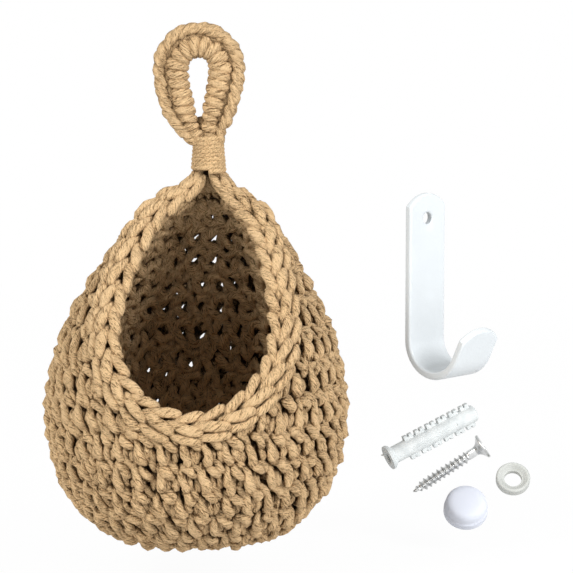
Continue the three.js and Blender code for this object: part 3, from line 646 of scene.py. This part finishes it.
def freed(where, length, drawn):
    """0 at either end of a line and 1 from the length drawn onward, where its cords are free of the neck."""
    return eased(np.minimum(where, length - where) / drawn, -0.1, 1.0)


def lobes(line, across, lift, places, steps, sides, count, pitch, wander=(0.03, 0.18, 0.16, 0.09), drawn=0.0):
    """Like strands one after another along a line, their places in pitches along it, mm across it and mm up. Over
    the length drawn at each end they close in on the line, which goes on straight a little way past its ends."""
    flat, at = spread(places, steps, count, wander, np.array(wander) * 0.8)
    past = [unit(line[end] - line[beside]) * PAST_END for end, beside in ((0, 1), (-1, -2))]
    whole = np.concatenate([[line[0] + past[0]], line, [line[-1] + past[1]]])
    run = lengths(whole) - lengths(whole)[1]
    where = pitch * flat[..., 0]
    up, side = [read_at(where, run, np.concatenate([rows[:1], rows, rows[-1:]])) for rows in (lift, across)]
    if drawn:
        free = freed(where, lengths(line)[-1], drawn)
        flat[..., 1:3] *= (0.5 + 0.5 * free)[..., None]
        flat[..., 3] *= 0.76 + 0.24 * free
    path = read_at(where, run, whole) + side * flat[..., 1:2] + up * flat[..., 2:3]
    return strand_grids(path, up, flat[..., 3], at, sides)


# %% Rim plait
RIM_LIFT, RIM_DROP, LINK_LENGTH, DRAWN = 2.4, 4.5, 12.6, 32.0      # mm
high_z = np.linspace(LIP_Z - 20, TOP_Z, 4000)
before = pod_middle(high_z)[1] - (pod_radius(high_z) - RIM_INSET) < rim_plane_y(high_z)
front_z = float(high_z[np.argmax(before)])
side = np.linspace(-1, 1, 241)
rim_z = front_z + (TOP_Z - RIM_DROP - front_z) * side ** 2
rim_r = pod_radius(rim_z) - RIM_INSET
mid_x, mid_y = pod_middle(rim_z)
rim_angle = np.sign(side) * np.arccos(np.clip((mid_y - rim_plane_y(rim_z)) / rim_r, -1, 1))
rim_line = at_angle(mid_x, mid_y, rim_r, rim_angle, rim_z) + RIM_LIFT * RIM_NORMAL
neck_left = [[NECK_X - 3.6, -1.5, -57.0], [NECK_X - 5.4, -3.0, -62.0]]
neck_right = [[NECK_X + 6.2, -3.0, -61.5], [NECK_X + 4.4, -1.5, -57.0]]
rim_line = even_path(smooth_path(np.concatenate([neck_left, rim_line[5:-3:6], neck_right]), 900), 600)
heading = unit(np.gradient(rim_line, axis=0))
rim_lift = unit(RIM_NORMAL - (heading * RIM_NORMAL).sum(1, keepdims=True) * heading)
rim_across = np.cross(heading, rim_lift)
rim_run = lengths(rim_line)
rim_length = rim_run[-1]
rim_links = int(round(rim_length / LINK_LENGTH))
print("rim length", round(rim_length, 1), "links", rim_links)
plait_grids = []
for places in (LEG_OUT, LEG_IN, HEAD):
    plait_grids += lobes(rim_line, rim_across, rim_lift, places, 15, 10, rim_links, rim_length / rim_links,
                         drawn=DRAWN)
closing = 0.5 + 0.5 * freed(rim_run, rim_length, DRAWN)[:, None]
for across, lift, radius in ((2.9, -1.6, 2.1), (-2.9, -1.6, 2.1), (5.6, -2.9, 2.0)):
    plait_grids.append(cord(rim_line + closing * (rim_across * across + rim_lift * lift), radius))
plait = make_piece("rim_plait", plait_grids, basket_cotton, None,
                   ("rim_chain_inner", "rim_chain_outer"))

# %% [markdown]
# ## Stitches drawn in under the neck
#
# The tops of the side stitches and both ends of the plait run together under the binding. Cords that start wide on
# the basket and end tight in the binding show this, each a short curve of its own.

# %% Gathered cords
GATHERED, GATHER_STEP = 11, 0.36
# Distance from the neck's middle and height
GATHER_LINE = ((4.0, -53), (4.8, -57.5), (7.4, -62), (11.4, -67.5), (16.2, -76))
gather_grids = []
for k in range(GATHERED):
    angle = math.pi + (k - (GATHERED - 1) / 2) * GATHER_STEP
    points = [at_angle(NECK_X, 0, r, angle, z) for r, z in GATHER_LINE]
    gather_grids.append(cord(smooth_path(points, 26), np.linspace(1.9, 3.0, 26)))
gather = make_piece("neck_gather_cords", gather_grids, basket_cotton, None, ("neck_gather",))

# %% [markdown]
# ## The hanging loop
#
# The loop is a ring of core cords with stitches worked over it side by side, each a turn of cord that is broad on
# the outside and squeezed on the inside. Their heads make a chain round the outer edge, behind a dark groove. The
# turns are one long winding, so they are one path: round the band while the band is followed from foot to foot.

# %% Loop line
EYE_RADIUS, BAND_WIDTH, BAND_DEPTH = 4.8, 12.0, 11.6
FOOT_Z = -(EYE_RADIUS + 29.2)
arc_radius = EYE_RADIUS + BAND_WIDTH / 2
splay = math.radians(8)
turns = math.pi + splay - (math.pi + 2 * splay) * np.arange(7) / 6
arc = np.stack([arc_radius * np.cos(turns), 0 * turns, arc_radius * np.sin(turns) - EYE_RADIUS], 1)
left_foot = [[1.4, 0, FOOT_Z - 7], [-1.6, 0, FOOT_Z - 3.5], [-4.3, 0, FOOT_Z + 0.5]]
right_foot = [[5.5, 0, FOOT_Z + 0.5], [6.6, 0, FOOT_Z - 3.5], [6.6, 0, FOOT_Z - 7]]
loop_line = even_path(smooth_path(np.concatenate([left_foot, arc, right_foot]), 1200), 1200)
BACK = np.array([0, 1.0, 0])
print("loop length", round(lengths(loop_line)[-1], 1))


def along_loop(share):
    """Point and outward direction of the loop at a share of its length."""
    spread_out = np.linspace(0, 1, len(loop_line))
    travel = read_at(share, spread_out, unit(np.gradient(loop_line, axis=0)))
    return read_at(share, spread_out, loop_line), unit(np.cross(travel, BACK))


def from_feet(share, low, high):
    """Smooth rise with the distance from the nearer foot, as a share of the loop's length."""
    return eased(np.minimum(share, 1 - share), low, high)


def narrowed(share):
    """The band's width as a share of its full width: less at the loop's feet."""
    return 0.74 + 0.26 * from_feet(share, 0.05, 0.26)


# %% Turns over the loop
WRAP_TURNS, WRAP_STEPS, WRAP_RADIUS, CORE_RADIUS, LOOP_CORD = 24, 30, 2.9, 4.3, 4.6
step = np.arange(WRAP_TURNS * WRAP_STEPS + 1)
share = 0.012 + 0.976 * step / step[-1]
angle = TAU * step / WRAP_STEPS
inward = ((1 - np.cos(angle)) / 2) ** 2
# Each turn differs a little in radius, in reach and in its place along the loop
loose = rng.normal(0, 1, WRAP_TURNS + 2)
loose = np.interp(step / WRAP_STEPS, np.arange(WRAP_TURNS + 2), loose)
squeeze = 1 - 0.42 * from_feet(share, 0.27, 0.35) * inward
half = (WRAP_RADIUS + 0.14 * loose) * narrowed(share) * squeeze
point, out_dir = along_loop(share + 0.0015 * loose)
radial = (np.cos(angle) * (BAND_WIDTH / 2 * narrowed(share) - half + 0.25 * loose))[:, None] * out_dir
radial = radial + (np.sin(angle) * (BAND_DEPTH / 2 * narrowed(share) - half))[:, None] * BACK
wrap_path = point + radial
share = np.linspace(0.004, 0.996, 300)
core_path = along_loop(share)[0]
# A last turn of cord closes the gap between the legs under the eye
between = smooth_path([[0.6, 4.4, -29.4], [0.8, 4.0, -30.6], [1.2, 2.6, -34.0], [1.8, 0.6, -39.0]], 20)
loop_grids = [cord(wrap_path, half, 10, LOOP_CORD), cord(core_path, CORE_RADIUS * narrowed(share), 14, LOOP_CORD),
              cord(between, np.linspace(2.0, 3.4, 20), 10, LOOP_CORD)]
wraps = make_piece("loop_stitches", loop_grids, loop_cotton, "hanging_loop",
                   ("loop_wraps", "loop_core"))

# %% Chain of stitch heads
HEAD_LEG = np.array([[-0.70, -0.8, -1.9, 1.2], [-0.30, -2.0, -1.1, 1.9], [0.25, -2.5, 0.3, 2.35],
                     [0.80, -2.1, 1.6, 2.3], [1.20, -1.0, 2.0, 1.7], [1.50, 0.1, 1.3, 1.2]])
HEAD_PITCH, HEAD_RISE = 5.6, 2.5
share = np.linspace(0.0, 1.0, 400)
point, out_dir = along_loop(share)
tuck = np.where(share < 0.5, eased(share, -0.01, 0.19), eased(1 - share, -0.02, 0.12))
offset = BAND_WIDTH / 2 * narrowed(share) * (0.35 + 0.65 * tuck) + HEAD_RISE * tuck
edge_line = point + out_dir * offset[:, None]
edge_length = lengths(edge_line)[-1]
heads = int(round(edge_length / HEAD_PITCH))
chain_grids = []
for way in (1, -1):
    chain_grids += lobes(edge_line, np.broadcast_to(BACK, edge_line.shape), out_dir, HEAD_LEG * [1, way, 1, 1], 12, 9,
                         heads, edge_length / heads, wander=(0.06, 0.16, 0.14, 0.1))
for offset, radius in ((0.4, 1.7), (-1.7, 1.6), (-3.2, 2.0)):
    chain_grids.append(cord(edge_line + out_dir * offset, radius))
edge_chain = make_piece("loop_chain", chain_grids, loop_cotton, "hanging_loop", ("loop_edge_chain",))

# %% [markdown]
# ## The bound neck
#
# Both legs of the loop are bound together with a thinner cord, wound tight in eight or nine turns. The winding is
# a helix: the angle grows evenly and the height with it. Its cord is thin and the turns lie close.

# %% Binding
BINDING_TURNS, BINDING_STEPS, BINDING_RADIUS, BINDING_CORD = 8.5, 56, 1.42, 2.4
BOUND_TOP, BOUND_HEIGHT = FOOT_Z - 3.4, 19.1
step = np.arange(int(BINDING_TURNS * BINDING_STEPS) + 1)
angle = TAU * step / BINDING_STEPS
rise = step / step[-1]
neck_low = BOUND_TOP - BOUND_HEIGHT
height = neck_low + 1.1 + (BOUND_TOP - neck_low - 2.2) * rise
bulge = 7.5 - 1.4 * rise + 0.2 * np.cos(angle + 2.0)
binding_path = at_angle(NECK_X + 0.7, 0, bulge, angle, height)
make_piece("neck_binding_cord", [cord(binding_path, BINDING_RADIUS, 10, BINDING_CORD)], binding_cotton,
           "hanging_loop", ("neck_binding", "neck_core"))

# %% [markdown]
# ## Painted shade in the hollows between the strands
#
# Deep between the stitches the cotton looks much darker, as little light gets in and fibres close the gap. Light
# alone gives part of it; the rest is painted shade. It could be painted by hand, but here it follows from the shape:
# the strands' points are counted in small cells, each as its share of the surface, and where much lies just above a
# point, that point is in a hollow and its colour is darkened.

# %% Hollows, for painted shade
CELL, ABOVE, MARGIN = 1.3, 2.3, 5       # mm, mm and cells
OPEN, CROWDED = 0.7, 3.0                # square mm in the cell above a point that is proud, and one that is deep
cotton_pieces = (base_cloth, bowl_cloth, back_cloth, plait, gather, wraps, edge_chain)


def read_all(collection, name):
    """All vectors of a mesh's collection as rows."""
    values = np.empty(3 * len(collection), np.float32)
    collection.foreach_get(name, values)
    return values.reshape(-1, 3).astype(float)


def cord_in_cells(points, areas, low, size):
    """Square mm of surface in each cell of a grid, blurred twice along each axis by the weights 1, 2, 1."""
    cells = np.ravel_multi_index(tuple(((points - low) / CELL).astype(int).T), size)
    total = np.bincount(cells, areas, int(np.prod(size))).reshape(size)
    for axis in (0, 1, 2, 0, 1, 2):
        total = (np.roll(total, 1, axis) + 2 * total + np.roll(total, -1, axis)) / 4
    return total


def share_of_area(mesh):
    """Each point's share of its mesh's surface in square mm."""
    areas = np.empty(len(mesh.polygons), np.float32)
    mesh.polygons.foreach_get("area", areas)
    return np.full(len(mesh.vertices), areas.sum() / len(mesh.vertices) / MM ** 2)


meshes = [piece.data for piece in cotton_pieces]
points = [read_all(mesh.vertices, "co") / MM for mesh in meshes]
normals = [read_all(mesh.vertex_normals, "vector") for mesh in meshes]
all_points, all_areas = np.concatenate(points), np.concatenate([share_of_area(mesh) for mesh in meshes])
low = all_points.min(0) - MARGIN * CELL
size = tuple(((all_points.max(0) - low) / CELL).astype(int) + MARGIN + 1)
surface = cord_in_cells(all_points, all_areas, low, size)
for mesh, place, normal in zip(meshes, points, normals):
    above = ((place + ABOVE * normal - low) / CELL).astype(int)
    crowd = surface[tuple(above.T)]
    print(mesh.name, "square mm above", np.round(np.percentile(crowd, (10, 50, 90)), 2))
    # Painted shade: where proud is under 1 the cotton's colour darkens, on top of the real shadows.
    mesh.attributes["proud"].data.foreach_set("value", (1 - eased(crowd, OPEN, CROWDED)).astype(np.float32))

for piece in (back_cloth, plait, gather):
    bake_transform(piece)

# %% [markdown]
# ## Kit: finishes
#
# The fixing kit is hard and small, so its look is all in the finish: powder coat with a faint orange peel, bright
# zinc with painted reflection and shade, darker on the thread's edges, and milky plastic with faint clouds in it.
# Each could be one flat colour, but slow changes of tone and gloss are what make metal and plastic believable.


# %% Kit materials
def moulded(name, tones, rough, peel, depth, scale=60.0, **sockets):
    """Hard finish: a slow noise moves the colour between tones and the gloss between two values, and a fine noise
    of the given size and depth is the surface's grain."""
    material, tree, shader, _ = new_material(name)
    slow, fine = cloudy(tree, scale), cloudy(tree, peel)
    bump = node(tree, "Bump", Height=fine, Strength=0.5, Distance=depth)
    stops = [(0.35, (*tones[0], 1)), (0.65, (*tones[1], 1))]
    fill(tree, shader, Base_Color=colour_ramp(tree, slow, stops), Normal=bump.outputs[0],
         Roughness=sums(tree, "MULTIPLY_ADD", slow, rough[1], rough[0]), **sockets)
    return material


powder_coat = moulded("white_powder_coat", ((0.555, 0.585, 0.60), (0.575, 0.605, 0.62)), (0.36, 0.2), 700.0, 0.0002)
clear_plastic = moulded("milky_plastic", ((0.55, 0.58, 0.58), (0.65, 0.675, 0.67)), (0.5, 0.15), 160.0, 0.0001,
                        scale=190.0)
ring_plastic = moulded("milky_ring", ((0.42, 0.43, 0.405), (0.47, 0.48, 0.455)), (0.55, 0.1), 160.0, 0.00005,
                       scale=120.0)
cap_plastic = moulded("glossy_white", ((0.605, 0.63, 0.70), (0.625, 0.65, 0.72)), (0.55, 0.1), 500.0, 0.00005,
                      Specular_IOR_Level=0.3)


def zinc_finish():
    """Bright zinc. The map's first number is how light each place is painted, from 0 to 1: painted reflection and
    shade.
    """
    material, tree, shader, _ = new_material("bright_zinc")
    light, _ = cord_map(tree)
    streak = cloudy(tree, 420.0, 3.0)
    tone = sums(tree, "MULTIPLY_ADD", streak, 0.35, sums(tree, "MULTIPLY", light, 0.7))
    stops = [(0.1, (0.22, 0.22, 0.22, 1)), (0.42, (0.5, 0.505, 0.5, 1)), (0.75, (0.84, 0.85, 0.85, 1))]
    bump = node(tree, "Bump", Height=streak, Strength=0.3, Distance=0.0001)
    fill(tree, shader, Base_Color=colour_ramp(tree, tone, stops), Metallic=1.0, Normal=bump.outputs[0],
         Roughness=sums(tree, "MULTIPLY_ADD", streak, 0.2, 0.24))
    return material


zinc = zinc_finish()

# %% [markdown]
# ## Kit: turned pieces
#
# Screw, plug, washer and cap are turned shapes: a profile goes round an axis. Spinning a curve would do for plain
# ones, but a radius written as a function of height and angle also gives the thread, the fins and the slot, in one
# closed skin. Each piece is drawn standing up and then turned to the way it lies in the picture.


# %% Turning and placing
def turn(axis, angle):
    """Turn about an axis (0, 1 or 2) by an angle, as a table of three by three."""
    c, s = math.cos(angle), math.sin(angle)
    table = np.eye(3)
    i, j = (axis + 1) % 3, (axis + 2) % 3
    table[i, i], table[i, j], table[j, i], table[j, j] = c, -s, s, c
    return table


def placed(points, table, origin):
    """Points turned by a table and moved to an origin."""
    return points @ table.T + np.array(origin)


def turned_grid(radius, height, angle):
    """Points (radius * cos(angle), radius * sin(angle), height), for tables of steps by sides."""
    return np.stack([radius * np.cos(angle), radius * np.sin(angle), height + 0 * angle], -1)


def stacked(parts, sides):
    """Columns and tables one above the other, the columns the same on all sides."""
    return np.concatenate([np.broadcast_to(part, (len(part), sides)) for part in parts])


def spun(line, sides):
    """A profile of radius and height, the same at each of the angles all round."""
    around = TAU * np.arange(sides) / sides
    return turned_grid(line[:, :1] + 0 * around, line[:, 1:], around[None, :])


def soft_corners(corners, radius=0.5, steps=4):
    """Line through corners with each inner corner rounded: a curve from a point before it to a point after it."""
    p = np.array(corners, float)
    before, after = p[:-2] - p[1:-1], p[2:] - p[1:-1]
    reach = np.minimum(radius, 0.45 * np.minimum(np.linalg.norm(before, axis=1), np.linalg.norm(after, axis=1)))
    start = p[1:-1] + unit(before) * reach[:, None]
    end = p[1:-1] + unit(after) * reach[:, None]
    t = np.linspace(0, 1, steps)[None, :, None]
    arc = (1 - t) ** 2 * start[:, None] + 2 * t * (1 - t) * p[1:-1, None] + t ** 2 * end[:, None]
    return np.concatenate([p[:1], arc.reshape(-1, 2), p[-1:]])


# %% Screw
SCREW_LENGTH, HEAD_RADIUS, HEAD_HEIGHT, CORE, THREAD, PITCH = 44.7, 6.6, 5.4, 2.1, 1.1, 2.8
PLAIN_LENGTH, TIP_LENGTH, POINT, SWELL, HEAD_EDGE = 4.5, 6.5, 0.25, 0.4, 1.4
THREAD_STEEP, SCREW_SIDES = 3.6, 96
ARM_WIDTH, ARM_LENGTH, RECESS_DEPTH = (-0.85, -0.55), (-3.1, -2.4), 2.2     # of the cross in the head
SCREW_TURN = turn(1, math.radians(90 - 33.8))
SCREW_TIP = (110.3, 59.4, -231.7)
round_ = TAU * np.arange(SCREW_SIDES) / SCREW_SIDES
shank_top = SCREW_LENGTH - HEAD_HEIGHT
thread_top = shank_top - PLAIN_LENGTH
z = np.linspace(0.05, shank_top, 230)[:, None]
tip = np.clip(z / TIP_LENGTH, 0, 1)
phase = (z / PITCH - round_ / TAU) % 1
crest = np.clip(1 - THREAD_STEEP * np.abs(phase - 0.5), 0, 1) ** 0.85
crest = crest * (1 - eased(z, thread_top - 1.5, thread_top + 0.5))
neck = eased(z, thread_top - 1, thread_top + 1) * SWELL
shank = POINT + (CORE - POINT) * tip ** 0.8 + neck + THREAD * tip ** 0.7 * crest
flare = np.linspace(0, 1, 14)[1:, None]
cone = (CORE + SWELL) + (HEAD_RADIUS - CORE - SWELL) * flare ** 2.0
edge = np.array([[HEAD_RADIUS + 0.1, 1.1], [HEAD_RADIUS + 0.15, 0.7], [HEAD_RADIUS, 0.25], [HEAD_RADIUS - 0.3, 0.03]])
face = np.linspace(HEAD_RADIUS - 0.6, 0.02, 34)[:, None]
arm_x, arm_y = np.abs(face * np.cos(round_)), np.abs(face * np.sin(round_))
arm = np.maximum(eased(-arm_x, *ARM_WIDTH) * eased(-arm_y, *ARM_LENGTH),
                 eased(-arm_y, *ARM_WIDTH) * eased(-arm_x, *ARM_LENGTH))
screw_radius = stacked([shank, cone, edge[:, :1], face], SCREW_SIDES)
screw_height = stacked([z, shank_top + (HEAD_HEIGHT - HEAD_EDGE) * flare, SCREW_LENGTH - edge[:, 1:],
                        SCREW_LENGTH - RECESS_DEPTH * arm], SCREW_SIDES)
# Painted reflection and shade: crests dark, roots and plain shank light, cone lighter at the rim, cross recess dark
painted_shine = stacked([0.6 - 0.5 * crest + eased(z, thread_top, shank_top) * 0.15, 0.32 + 0.3 * flare ** 3,
                 0.4 + 0 * edge[:, :1], 0.85 - 0.5 * arm], SCREW_SIDES)
grid = placed(turned_grid(screw_radius, screw_height, round_[None, :]), SCREW_TURN, SCREW_TIP)
make_piece("zinc_screw", [(grid, painted_shine)], zinc, "fixing_screw", ("screw",), sharp=40)

# %% Wall plug
PLUG_LENGTH, PLUG_RADIUS, COLLAR_RADIUS, BORE_RADIUS = 54.2, 4.6, 6.6, 2.4
FINS, FIN_LENGTH, FIN_WIDTH, FIN_HEIGHT, FIN_PITCH, FIRST_FIN = 6, 5.2, 3.0, 2.2, 6.9, 5.6
FIN_CUT, CUT_HEIGHT, CORNER = 0.45, 0.45, 0.12      # half width of the cut across a fin, what it leaves, and a step
SLOT_LOW, SLOT_HIGH, SLOT_DEPTH, BORE_DEPTH = 13.4, 41.2, 0.25, 41.0
PLUG_RISE, PLUG_YAW = math.radians(23.4), math.radians(19.6)
PLUG_TURN = turn(2, PLUG_YAW) @ turn(1, -math.pi / 2 - PLUG_RISE)
PLUG_MOUTH = np.array([96.5, 49.5, -211.5])
plug_tip = PLUG_MOUTH - PLUG_LENGTH * PLUG_TURN[:, 2]
half_turn = np.radians([0, 5, 10, 13, 15, 18, 21, 23, 30, 40, 50, 60, 70, 78, 82, 84, 86, 90])
quarter = np.concatenate([half_turn, math.pi - half_turn[-2::-1]])
round_ = np.concatenate([quarter, math.pi + quarter[1:-1]])[None, :]
fins = FIRST_FIN + FIN_PITCH * np.arange(FINS)
corners = [fins + way * reach + step for reach in (FIN_LENGTH / 2, FIN_CUT) for way in (-1, 1)
           for step in (-CORNER, CORNER)]
marks = np.concatenate(corners + [np.linspace(0.02, 2.4, 12), np.linspace(PLUG_LENGTH - 5, PLUG_LENGTH - 0.02, 14),
                                  [SLOT_LOW - 0.1, SLOT_LOW + 0.1, SLOT_HIGH - 0.1]])
z = np.unique(np.round(marks, 3))[:, None]
along = np.abs((z - FIRST_FIN + FIN_PITCH / 2) % FIN_PITCH - FIN_PITCH / 2)
in_row = (z > FIRST_FIN - FIN_PITCH / 2) & (z < FIRST_FIN + FIN_PITCH * (FINS - 0.5))
tall = np.where(along < FIN_CUT, CUT_HEIGHT, 1.0) * (along < FIN_LENGTH / 2) * in_row
body_radius = PLUG_RADIUS * (1 - (1 - np.clip(z / 2.2, 0, 1)) ** 2.4) ** 0.4
from_mouth = PLUG_LENGTH - z
body_radius = body_radius + (COLLAR_RADIUS - PLUG_RADIUS) * (1 - eased(from_mouth, 1.3, 3.6))
side_share = np.abs(np.sin(round_))
block = np.minimum((PLUG_RADIUS + FIN_HEIGHT * tall) / np.maximum(np.abs(np.cos(round_)), 0.2),
                   FIN_WIDTH / 2 / np.maximum(side_share, 1e-3))
outer = np.where(tall > 0, np.maximum(body_radius, block), body_radius)
slotted = (np.abs(np.cos(round_)) < 0.12) & (z > SLOT_LOW) & (z < SLOT_HIGH)
outer = np.where(slotted, outer - SLOT_DEPTH, outer)
lip = np.array([[COLLAR_RADIUS - 0.4, 0.0], [BORE_RADIUS + 0.5, 0.0], [BORE_RADIUS, 0.5], [BORE_RADIUS, 20.0],
                [BORE_RADIUS, BORE_DEPTH], [0.02, BORE_DEPTH]])
plug_radius = stacked([outer, lip[:, :1]], round_.size)
plug_height = stacked([z, PLUG_LENGTH - lip[:, 1:]], round_.size)
grid = placed(turned_grid(plug_radius, plug_height, round_), PLUG_TURN, plug_tip)
tab_line = np.array([[0, 5.8, 53.2], [0, 7.4, 53.8], [0, 8.8, 54.6]])
tab, _ = cord(placed(smooth_path(tab_line, 9), PLUG_TURN, plug_tip), np.linspace(0.8, 0.25, 9), 8, grain=0.0)
make_piece("milky_plug", [bare(grid), bare(tab)], clear_plastic, "plug", ("wall_plug",),
           sharp=32)

# %% Cup washer and screw cap
TURNED_SIDES = 72
ring_line = soft_corners([[6.0, 0.0], [8.4, 0.0], [9.0, 0.7], [9.0, 4.3], [8.5, 5.0], [7.6, 5.0], [5.4, 3.1],
                          [4.6, 2.9], [4.6, 0.4], [5.0, 0.0], [6.0, 0.0]], 0.5)[:-1]
grid = placed(spun(ring_line, TURNED_SIDES), turn(0, math.radians(48)), (162.6, 57.6, -225.7))
make_piece("milky_ring", [bare(grid)], ring_plastic, "washer", ("cup_washer",), sharp=40,
           joined=True)

CAP_RADIUS, CAP_LIP, CAP_RISE, CAP_INSIDE = 11.1, 4.3, 6.9, 9.9
swell = (np.linspace(0.0, 1.0, 34) ** 1.8) * math.pi / 2
dome = np.stack([CAP_RADIUS * np.sin(swell) ** 0.42, CAP_LIP + CAP_RISE * np.cos(swell) ** 0.62], 1)
skirt = soft_corners([[CAP_RADIUS, CAP_LIP], [11.6, 3.7], [11.6, 0.0], [10.3, 0.0], [10.3, 4.0]], 0.3)
inside = np.stack([CAP_INSIDE * np.sin(swell[::-1]) ** 0.42, 4.1 + 5.5 * np.cos(swell[::-1])], 1)
dome[0, 0] = inside[-1, 0] = 0.02
grid = placed(spun(np.concatenate([dome[:-1], skirt, inside[1:]]), TURNED_SIDES), turn(0, math.radians(44)),
              (137.7, 55.5, -241.5))
make_piece("white_cap", [bare(grid)], cap_plastic, "cap", ("screw_cap",), sharp=45)

# %% [markdown]
# ## Kit: the wall hook
#
# The hook is flat bar with arched ends, drilled once and bent to a J, then powder coated so that every edge is
# soft. It could be cut from a box and bevelled, but bending is a simple sum: each point of the flat bar has a
# distance along it, across it and through it, and the distance along picks a place on the J.

# %% Hook
HOOK_WIDTH, HOOK_HEIGHT, HOOK_BEND, HOOK_THICK = 27.0, 94.7, 19.0, 4.0
TONGUE_LEAN, TONGUE_HEIGHT, ARCH_RISE, EDGE = math.radians(26), 27.0, 6.5, 1.25
HOLE_DROP = 13.0                # from the top end to the middle of the hole
half_thick, middle_bend = HOOK_THICK / 2, HOOK_BEND - HOOK_THICK / 2
straight = HOOK_HEIGHT - HOOK_BEND
bend_length = middle_bend * (math.pi - TONGUE_LEAN)
tongue = (TONGUE_HEIGHT - HOOK_BEND * (1 - math.sin(TONGUE_LEAN))) / math.cos(TONGUE_LEAN)
total = straight + bend_length + tongue
arch_radius = ((HOOK_WIDTH / 2) ** 2 + ARCH_RISE ** 2) / (2 * ARCH_RISE)


def bent(along, across, through):
    """Flat bar to J. Along runs from the top end down, round the bend and up the tongue. The middle line is
    straight, then an arc, then straight; through is added along its normal, towards the wall."""
    turned = np.clip((along - straight) / middle_bend, 0, math.pi - TONGUE_LEAN)
    past = np.clip(along - straight - bend_length, 0, None)
    from_wall = HOOK_BEND - middle_bend * np.cos(turned) + past * math.sin(TONGUE_LEAN)
    height = np.where(along < straight, HOOK_HEIGHT - along, HOOK_BEND - middle_bend * np.sin(turned))
    height = height + past * math.cos(TONGUE_LEAN)
    return np.stack([across, -from_wall + through * np.cos(turned), height - through * np.sin(turned)], -1)


def edge_circle(into):
    """Height of a quarter circle of radius EDGE where it goes a length into the edge: sqrt(EDGE^2 - into^2)."""
    return np.sqrt(np.clip(EDGE ** 2 - np.clip(into, 0, None) ** 2, 0, None))


near_end = np.array([0.02, 0.06, 0.15, 0.3, 0.5, 0.75, 1.0, 1.25, 1.7, 2.3, 3.0, 3.8, 4.7, 5.6, 6.5])
along = np.concatenate([near_end, np.linspace(9, straight, 12), straight + bend_length * np.arange(1, 29) / 28,
                        np.linspace(straight + bend_length, total - near_end[-1], 4)[1:-1],
                        total - near_end[::-1]])[:, None]
from_end = np.minimum(along, total - along)
reach = half_thick - EDGE + edge_circle(EDGE - from_end)
rounding = np.sin(np.linspace(-1, 1, 15) * math.pi / 2)[None, :]
through = rounding * reach
half_side = HOOK_WIDTH / 2 - (EDGE - edge_circle(np.abs(through) - half_thick + EDGE))
arch_side = arch_radius - HOOK_WIDTH / 2 + half_side
arch = np.sqrt(np.clip(arch_side ** 2 - (arch_radius - from_end) ** 2, 0, None))
side = np.where(from_end < ARCH_RISE, np.minimum(arch, half_side), half_side)
inner = np.linspace(1, -1, 14)[None, 1:-1]
across = np.concatenate([side, side[:, -1:] * inner, -side[:, ::-1], -side[:, :1] * inner], 1)
through = np.concatenate([through, through[:, -1:] + 0 * inner, through[:, ::-1], through[:, :1] + 0 * inner], 1)
hook_table, hook_origin = turn(2, math.radians(44.5)), (114.0, 55.8, -167.1)
grid = placed(bent(along + 0 * across, across, through), hook_table, hook_origin)
hook = make_piece("coated_hook", [bare(grid)], powder_coat, "hook", ("wall_hook",), sharp=None)


def drill(piece, line, table, origin, toward):
    """Takes a turned shape out of a piece with an exact boolean; its axis points along toward."""
    points = placed(placed(spun(line, 48), toward, (0, 0, 0)), table, origin)
    place, quads, caps, _ = grid_faces(*bare(points))
    mesh = bpy.data.meshes.new("drill")
    mesh.from_pydata((place * MM).tolist(), [], quads.tolist() + caps)
    cutter = add_object("drill", mesh)
    cut = piece.modifiers.new("hole", "BOOLEAN")
    cut.operation, cut.solver, cut.object = "DIFFERENCE", "EXACT", cutter
    graph = bpy.context.evaluated_depsgraph_get()
    mesh = bpy.data.meshes.new_from_object(piece.evaluated_get(graph))
    piece.modifiers.clear()
    piece.data = mesh
    bpy.data.objects.remove(cutter)
    mesh.polygons.foreach_set("use_smooth", np.ones(len(mesh.polygons), bool))
    mesh.set_sharp_from_angle(angle=math.radians(35))
    print(piece.name, "triangles after drilling", triangles(mesh))


drill_line = np.array([[4.6, -1.5], [4.1, -0.001], [3.5, 0.3], [3.1, 0.7], [3.1, 3.3], [3.5, 3.7], [4.1, 4.001],
                       [4.6, 5.5]])
hole = placed(np.array([[0, 0, HOOK_HEIGHT - HOLE_DROP]]), hook_table, hook_origin)[0]
drill(hook, drill_line, hook_table, hole, turn(0, math.pi / 2))
